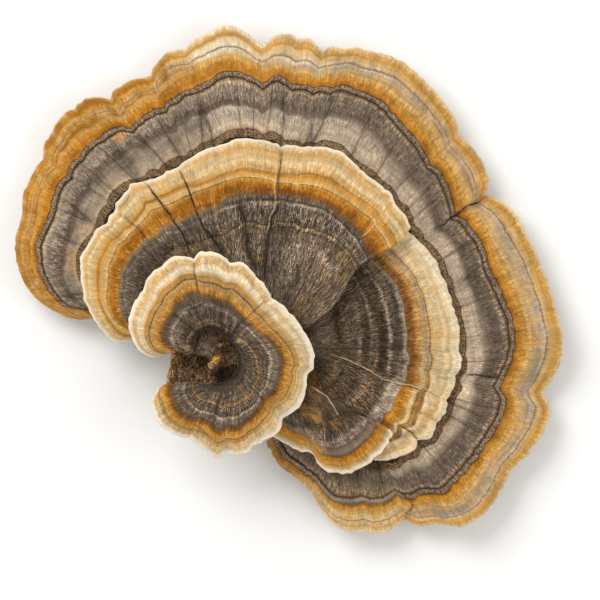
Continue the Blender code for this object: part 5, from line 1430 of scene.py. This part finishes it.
    # Painted shade in the valleys between the ribs of the old part and in the creases. Pale edges
    # of folds: partly the pale margin of a lobe, partly a painted highlight.
    valley = add(tree, "Math", (rib,), operation="ABSOLUTE")
    ribbed = add(tree, "MapRange", (zone, cap["ribs_end"], cap["ribs_end"] - 0.5, 0.0, 1.0))
    edge = add(tree, "Math", (grain, 0.3, pale_and_lit_edge), operation="MULTIPLY_ADD")
    crease_shade_line = add(tree, "Math", (grain, 0.2, crease), operation="MULTIPLY_ADD")
    for value, wide, narrow, strength, paint, where in (
        (valley, 0.25, 0.0, 0.35, "umber", ribbed),
        (valley, 0.05, 0.01, 0.5, "near_black", ribbed),
        (edge, 0.36, 0.2, 0.55, "cream", 1.0),
        (crease, 0.6, 0.1, 0.2, "umber", 1.0),
        (crease_shade_line, 0.36, 0.18, 0.93, "near_black", 1.0),
    ):
        mask = add(tree, "MapRange", (value, wide, narrow, 0.0, strength), **SOFTLY)
        mask = add(tree, "Math", (mask, where), operation="MULTIPLY")
        paint = opaque(getattr(colours, paint))
        colour = add(tree, "Mix", {0: mask, 6: colour, 7: paint}, 2, **MIXED)
    ragged = add(tree, "Math", (locks, 0.9, from_edge), operation="MULTIPLY_ADD")
    rim = add(tree, "MapRange", (ragged, 1.35, 0.55, 0.0, cap["rim"]), **SOFTLY)
    rim_colour = opaque(getattr(colours, cap["rim_colour"]))
    colour = add(tree, "Mix", {0: rim, 6: colour, 7: rim_colour}, 2, **MIXED)

    # Round pores underneath, three to the millimetre, so fine that they only grey the cream.
    pores = add(tree, "TexVoronoi", {"Vector": place, "Scale": 1 / sizes.pore}, "Distance")
    pores = add(tree, "MapRange", (pores, 0.5, 0.22, 0.0, 0.7), **SOFTLY)
    inside = add(tree, "MapRange", (from_edge, 0.8, 1.8, 0.0, 1.0))
    pores = add(tree, "Math", (pores, inside), operation="MULTIPLY")
    aged = add(tree, "MapRange", (blotches, 0.35, 0.7, 0.0, 1.0))
    pale, old = opaque(colours.pores), opaque(colours.warm_cream)
    below = add(tree, "Mix", {0: aged, 6: pale, 7: old}, 2, **MIXED)
    below = add(tree, "Mix", {0: pores, 6: below, 7: opaque(colours.straw)}, 2, **MIXED)
    colour = add(tree, "Mix", {0: under, 6: colour, 7: below}, 2, **MIXED)
    tree.links.new(colour, shader.inputs["Base Color"])

    # Heights in units of 0.13 mm: hair, rings and grain above, pores below.
    sunk = add(tree, "Math", (pores, -1.7), operation="MULTIPLY")
    relief = add(tree, "Mix", {0: under, 2: relief, 3: sunk}, data_type="FLOAT")
    bump = add(tree, "Bump", {"Strength": 0.9, "Distance": 0.13 * MM, "Height": relief})
    tree.links.new(bump, shader.inputs["Normal"])
    shader.inputs["Roughness"].default_value = 0.85
    shader.inputs["IOR"].default_value = 1.45
    shader.inputs["Specular IOR Level"].default_value = 0.2
    shader.inputs["Sheen Weight"].default_value = 0.06
    shader.inputs["Sheen Roughness"].default_value = 0.5
    return material


def tissue_material(name, stops, fibre, spots_and_shade, colours):
    """Torn woody flesh: dry matt fibres, a third of a millimetre wide. Fibre gives their width,
    length and depth in millimetres. Spots are a centre, a radius, a colour and its strength."""
    material = bpy.data.materials.new(name)
    material.use_nodes = True
    tree = material.node_tree
    shader = tree.nodes["Principled BSDF"]
    place = add(tree, "TexCoord", (), "Object")
    place = add(tree, "VectorMath", (place, (1 / MM,) * 3), operation="MULTIPLY")
    laid = add(tree, "VectorMath", (place, fibre), operation="DIVIDE")
    fibres = add(tree, "TexNoise", {"Vector": laid, "Scale": 1.0, "Detail": 4.0, "Distortion": 0.8}, "Fac")
    lumps = add(tree, "TexNoise", {"Vector": place, "Scale": 0.9, "Detail": 4.0, "Roughness": 0.7}, "Fac")
    dust = add(tree, "TexNoise", {"Vector": place, "Scale": 4.0, "Detail": 3.0}, "Fac")
    ramp = add(tree, "ValToRGB", (fibres,))
    fill_ramp(ramp.node.color_ramp, [(stop, getattr(colours, colour)) for stop, colour in stops])
    colour = ramp
    flat = add(tree, "VectorMath", (place, (1.0, 1.0, 0.0)), operation="MULTIPLY")
    # Spots of colour; the near black ones are painted shade in the hole and its pits.
    for centre, radius, spot, strength in spots_and_shade:
        away = add(tree, "VectorMath", (flat, (*centre, 0.0)), "Value", operation="DISTANCE")
        away = add(tree, "Math", (lumps, -1.2 * radius, away), operation="MULTIPLY_ADD")
        amount = add(tree, "MapRange", (away, radius * 0.05, radius * 0.45, strength, 0.0), **SOFTLY)
        spot = opaque(getattr(colours, spot))
        colour = add(tree, "Mix", {0: amount, 6: colour, 7: spot}, 2, **MIXED)
    for value, dark, light in ((lumps, 0.65, 1.6), (fibres, 0.7, 1.45), (dust, 0.55, 1.6)):
        level = add(tree, "MapRange", (value, 0.35, 0.65, dark, light))
        colour = add(tree, "Mix", {0: 1.0, 6: colour, 7: level}, 2, **MULTIPLIED)
    tree.links.new(colour, shader.inputs["Base Color"])
    both = add(tree, "Math", (fibres, lumps), operation="ADD")
    bump = add(tree, "Bump", {"Strength": 0.9, "Distance": 0.3 * MM, "Height": both})
    tree.links.new(bump, shader.inputs["Normal"])
    shader.inputs["Roughness"].default_value = 0.92
    shader.inputs["IOR"].default_value = 1.45
    shader.inputs["Specular IOR Level"].default_value = 0.15
    return material


def model_lump(name, rings, shape_of, seed):
    """A lump from rings of points, bottom centre first, closed round and at both ends. The given
    function moves the points by a random roughness."""
    rings = np.array(rings)
    rings = np.concatenate([rings, rings[:, :1]], axis=1)
    x, y, z = rings[..., 0], rings[..., 1], rings[..., 2]
    rough = 0.6 * cloudy(x * 1.1 + 40.0, y * 1.1 + 40.0 + z, seed)
    rough += 0.4 * cloudy(x * 3.0 + 90.0, y * 3.0 + 90.0 + z, seed + 1)
    piece = add_grid(name, rings.shape[1], len(rings))
    shape_grid(piece, shape_of(x, y, z, rough), {})
    close_piece(piece)
    return piece


def pad_top(x, y):
    """Height of the pad's top, which rises under the mouth of the funnel."""
    into_mouth = (x + 14.0) * -0.408 + (y - 1.5) * -0.913
    return 3.5 + 3.0 * smooth_step((into_mouth - 1.2) / 3.3)


def model_pad():
    """The flat-cut pad: its bottom, its rounded side and its top."""
    angle = np.linspace(0.0, 2 * np.pi, 240, endpoint=False)
    lumps = 1.0 + 0.04 * np.sin(3 * angle + 0.6) + 0.03 * np.sin(7 * angle + 2.0)
    x = PAD_HALF_WIDTHS[0] * np.cos(angle) * lumps
    y = PAD_HALF_WIDTHS[1] * np.sin(angle) * lumps
    sections = [(reach, 0.0) for reach in (0.0, 0.3, 0.6, 0.85, 0.96)]
    knots = (0.0, 0.08, 0.45, 0.8, 1.0)
    for t in np.linspace(0.0, 1.0, 22):
        reach = np.interp(t, knots, (0.985, 1.0, 0.985, 0.92, 0.8))
        sections.append((reach, np.interp(t, knots, (0.0, 0.06, 0.45, 0.85, 1.0))))
    sections += [(reach, 1.0) for reach in (0.7, 0.55, 0.4, 0.2, 0.0)]
    rings = []
    for reach, rise in sections:
        rings.append(np.column_stack([x * reach, y * reach, rise * pad_top(x * reach, y * reach)]))

    def shape_of(x, y, z, rough):
        high = smooth_step(z / 0.8)
        inwards = 1.0 - 0.03 * high * (1.0 + rough)
        return np.dstack([x * inwards, y * inwards, z - 0.12 * high * (1.0 + rough)])

    return model_lump("cut_pad", rings, shape_of, 5)


def core_top(x, y):
    """Height of the old tissue: lumps and three pits in the hole, and a lip at the left."""
    height = 8.8 + 2.5 * smooth_step((-15.4 - x) / 2.4)
    for centre_x, centre_y, radius, rise in (
        (-13.3, -2.3, 1.5, 1.6), (-11.1, -4.9, 0.55, 0.8), (-11.5, -5.5, 0.5, 0.5), (-12.0, -6.2, 0.55, 0.7),
        (-9.6, -8.0, 1.2, -1.3), (-8.9, -3.8, 1.3, -1.2), (-13.6, -5.4, 0.9, -0.8),
    ):
        height += rise * np.exp(-((x - centre_x) ** 2 + (y - centre_y) ** 2) / radius**2)
    return height


def model_core():
    """The torn old tissue, with an undercut side and a rough top."""
    outline = [
        (-19.0, -3.6), (-19.2, -6.1), (-19.7, -9.6), (-16.0, -10.6), (-11.0, -10.6), (-7.5, -9.2),
        (-5.8, -5.5), (-6.5, -1.8), (-9.5, 0.8), (-13.0, 1.4), (-16.5, -0.6), (-18.2, -2.2),
    ]
    edge = smooth_curve([*outline, outline[0]], 180)[:-1]
    centre = np.array([-12.4, -4.8])
    rings = []
    sections = [(0.0, 0.0), (0.4, 0.0), (0.7, 0.0), (0.85, 0.08), (0.95, 0.25), (0.985, 0.5), (1.0, 0.8)]
    top = (0.94, 0.9, 0.85, 0.8, 0.75, 0.7, 0.64, 0.58, 0.5, 0.42, 0.34, 0.26, 0.18, 0.1, 0.0)
    sections += [(0.985, 0.93), *((reach, 1.0) for reach in top)]
    for reach, rise in sections:
        ring = centre + (edge - centre) * reach
        height = CORE_FLOOR + rise * (core_top(ring[:, 0], ring[:, 1]) - CORE_FLOOR)
        rings.append(np.column_stack([ring, height]))

    def shape_of(x, y, z, rough):
        high = smooth_step((z - 7.2) / 1.2)
        return np.dstack([x, y, z + 0.35 * high * (rough - 0.3)])

    return model_lump("old_core", rings, shape_of, 23)


def finish_piece(piece, material, replaced):
    piece.data.materials.clear()
    piece.data.materials.append(material)
    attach(piece, "root")
    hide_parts(replaced)


def settings(context):
    """The sizes in millimetres, and the colours."""
    sizes = context.scene.fungus_sizes
    in_mm = {name: getattr(sizes, name) / MM for name in FungusSizes.__annotations__}
    return SimpleNamespace(**in_mm), context.scene.fungus_colours


def add_cap(context, name, cap, material, replaced):
    """Models a cap, makes its material and hides the solid that it replaces."""
    sizes, colours = settings(context)
    piece = model_cap(name, cap, sizes)
    finish_piece(piece, cap_material(material, cap, sizes, colours), replaced)


class AddBackCap(bpy.types.Operator):
    """Adds the wide cap at the back, with the bumpy ridge"""

    bl_idname = "fungus.back_cap"
    bl_label = "Back cap"

    def execute(self, context):
        add_cap(context, "back_cap", BACK, "zoned_velvet_back", "back_bracket")
        return {"FINISHED"}


class AddSideCaps(bpy.types.Operator):
    """Adds the dark cap on the right, the small cap below it and the large cap in the middle"""

    bl_idname = "fungus.side_caps"
    bl_label = "Right, lower and middle caps"

    def execute(self, context):
        for name, cap, replaced, slot in (
            ("right_cap", RIGHT, "right_bracket", "dark_cap"),
            ("lower_cap", LOWER, "lower_bracket", "grey_cap"),
            ("middle_cap", MIDDLE, "middle_bracket", "banded_cap"),
        ):
            add_cap(context, name, cap, "zoned_velvet_" + name, replaced)
        return {"FINISHED"}


class AddFunnelCap(bpy.types.Operator):
    """Adds the C-shaped funnel cap on top"""

    bl_idname = "fungus.funnel_cap"
    bl_label = "Funnel cap"

    def execute(self, context):
        add_cap(context, "funnel_cap", FRONT, "zoned_velvet_funnel", "front_cap")
        return {"FINISHED"}


class AddOldTissue(bpy.types.Operator):
    """Adds the old dark tissue in the funnel and the pad that is cut off flat"""

    bl_idname = "fungus.old_tissue"
    bl_label = "Old tissue and cut pad"

    def execute(self, context):
        colours = settings(context)[1]
        core = tissue_material(
            "old_dark_tissue",
            ((0.3, "near_black"), (0.4, "umber"), (0.5, "rust"), (0.58, "crust"), (0.68, "straw")),
            (0.3, 0.6, 1.0), OLD_TISSUE_SPOTS_AND_SHADE, colours,
        )
        finish_piece(model_core(), core, "core_stub")
        pad = tissue_material(
            "cut_woody_flesh", ((0.3, "straw"), (0.5, "tan"), (0.7, "flesh")), (0.35, 0.35, 4.0), (), colours
        )
        finish_piece(model_pad(), pad, "attachment_pad")
        return {"FINISHED"}


class AddStage(bpy.types.Operator):
    """Adds the pale floor, the soft studio light and the camera that looks straight down"""

    bl_idname = "fungus.stage"
    bl_label = "Stage"

    def execute(self, context):
        bpy.ops.object.select_all(action="DESELECT")
        bpy.ops.mesh.primitive_plane_add(size=6.0, location=(0.0, 0.0, -0.0002))
        floor = context.object
        floor.name = "floor"
        paper = bpy.data.materials.new("matt_white_paper")
        paper.use_nodes = True
        shader = paper.node_tree.nodes["Principled BSDF"]
        shader.inputs["Base Color"].default_value = opaque(linear("F4F3F1"))
        shader.inputs["Roughness"].default_value = 0.9
        floor.data.materials.append(paper)

        world = bpy.data.worlds.new("studio")
        world.use_nodes = True
        world.node_tree.nodes["Background"].inputs["Color"].default_value = opaque(linear("FFFFFF"))
        world.node_tree.nodes["Background"].inputs["Strength"].default_value = 0.66
        context.scene.world = world
        # Two soft boxes half a metre off: the main one from the top left, a weak one from the right.
        for name, place, size, power in (
            ("main_softbox", (-0.35, 0.4, 0.55), 0.45, 3.7),
            ("fill_softbox", (0.5, -0.1, 0.5), 0.5, 1.0),
        ):
            light = bpy.data.lights.new(name, "AREA")
            light.shape = "SQUARE"
            light.size = size
            light.energy = power
            lamp = bpy.data.objects.new(name, light)
            context.scene.collection.objects.link(lamp)
            lamp.location = place
            lamp.rotation_mode = "QUATERNION"
            lamp.rotation_quaternion = (-lamp.location).to_track_quat("-Z", "Y")

        # The picture is 105 mm wide about this centre, and seen from straight above.
        frame_width, centre, lens = 0.105, (0.0035, 0.00525), 600.0
        camera = bpy.data.objects.new("camera", bpy.data.cameras.new("camera"))
        context.scene.collection.objects.link(camera)
        camera.data.lens = lens
        camera.data.sensor_width = 36.0
        distance = frame_width * lens / camera.data.sensor_width
        camera.location = (*centre, distance + 0.008)
        camera.data.clip_start = 0.1
        camera.data.clip_end = 10.0
        context.scene.camera = camera
        context.scene.view_settings.view_transform = "Standard"
        return {"FINISHED"}


class FungusPanel(bpy.types.Panel):
    """Lists the pieces with their sizes and colours"""

    bl_idname = "VIEW3D_PT_fungus"
    bl_label = "Turkey tail fungus"
    bl_space_type = "VIEW_3D"
    bl_region_type = "UI"
    bl_category = "Fungus"

    def draw(self, context):
        for operator in OPERATORS:
            self.layout.operator(operator.bl_idname)
        for group in (context.scene.fungus_sizes, context.scene.fungus_colours):
            box = self.layout.box()
            for name in type(group).__annotations__:
                box.prop(group, name)


OPERATORS = (AddBackCap, AddSideCaps, AddOldTissue, AddFunnelCap, AddStage)
CLASSES = (FungusSizes, FungusColours, *OPERATORS, FungusPanel)


def register():
    for cls in CLASSES:
        bpy.utils.register_class(cls)
    bpy.types.Scene.fungus_sizes = bpy.props.PointerProperty(type=FungusSizes)
    bpy.types.Scene.fungus_colours = bpy.props.PointerProperty(type=FungusColours)


def unregister():
    del bpy.types.Scene.fungus_colours
    del bpy.types.Scene.fungus_sizes
    for cls in reversed(CLASSES):
        bpy.utils.unregister_class(cls)


def main():
    register()
    bpy.ops.fungus.back_cap()
    bpy.ops.fungus.side_caps()
    bpy.ops.fungus.old_tissue()
    bpy.ops.fungus.funnel_cap()
    bpy.ops.fungus.stage()


if __name__ == "__main__":
    main()
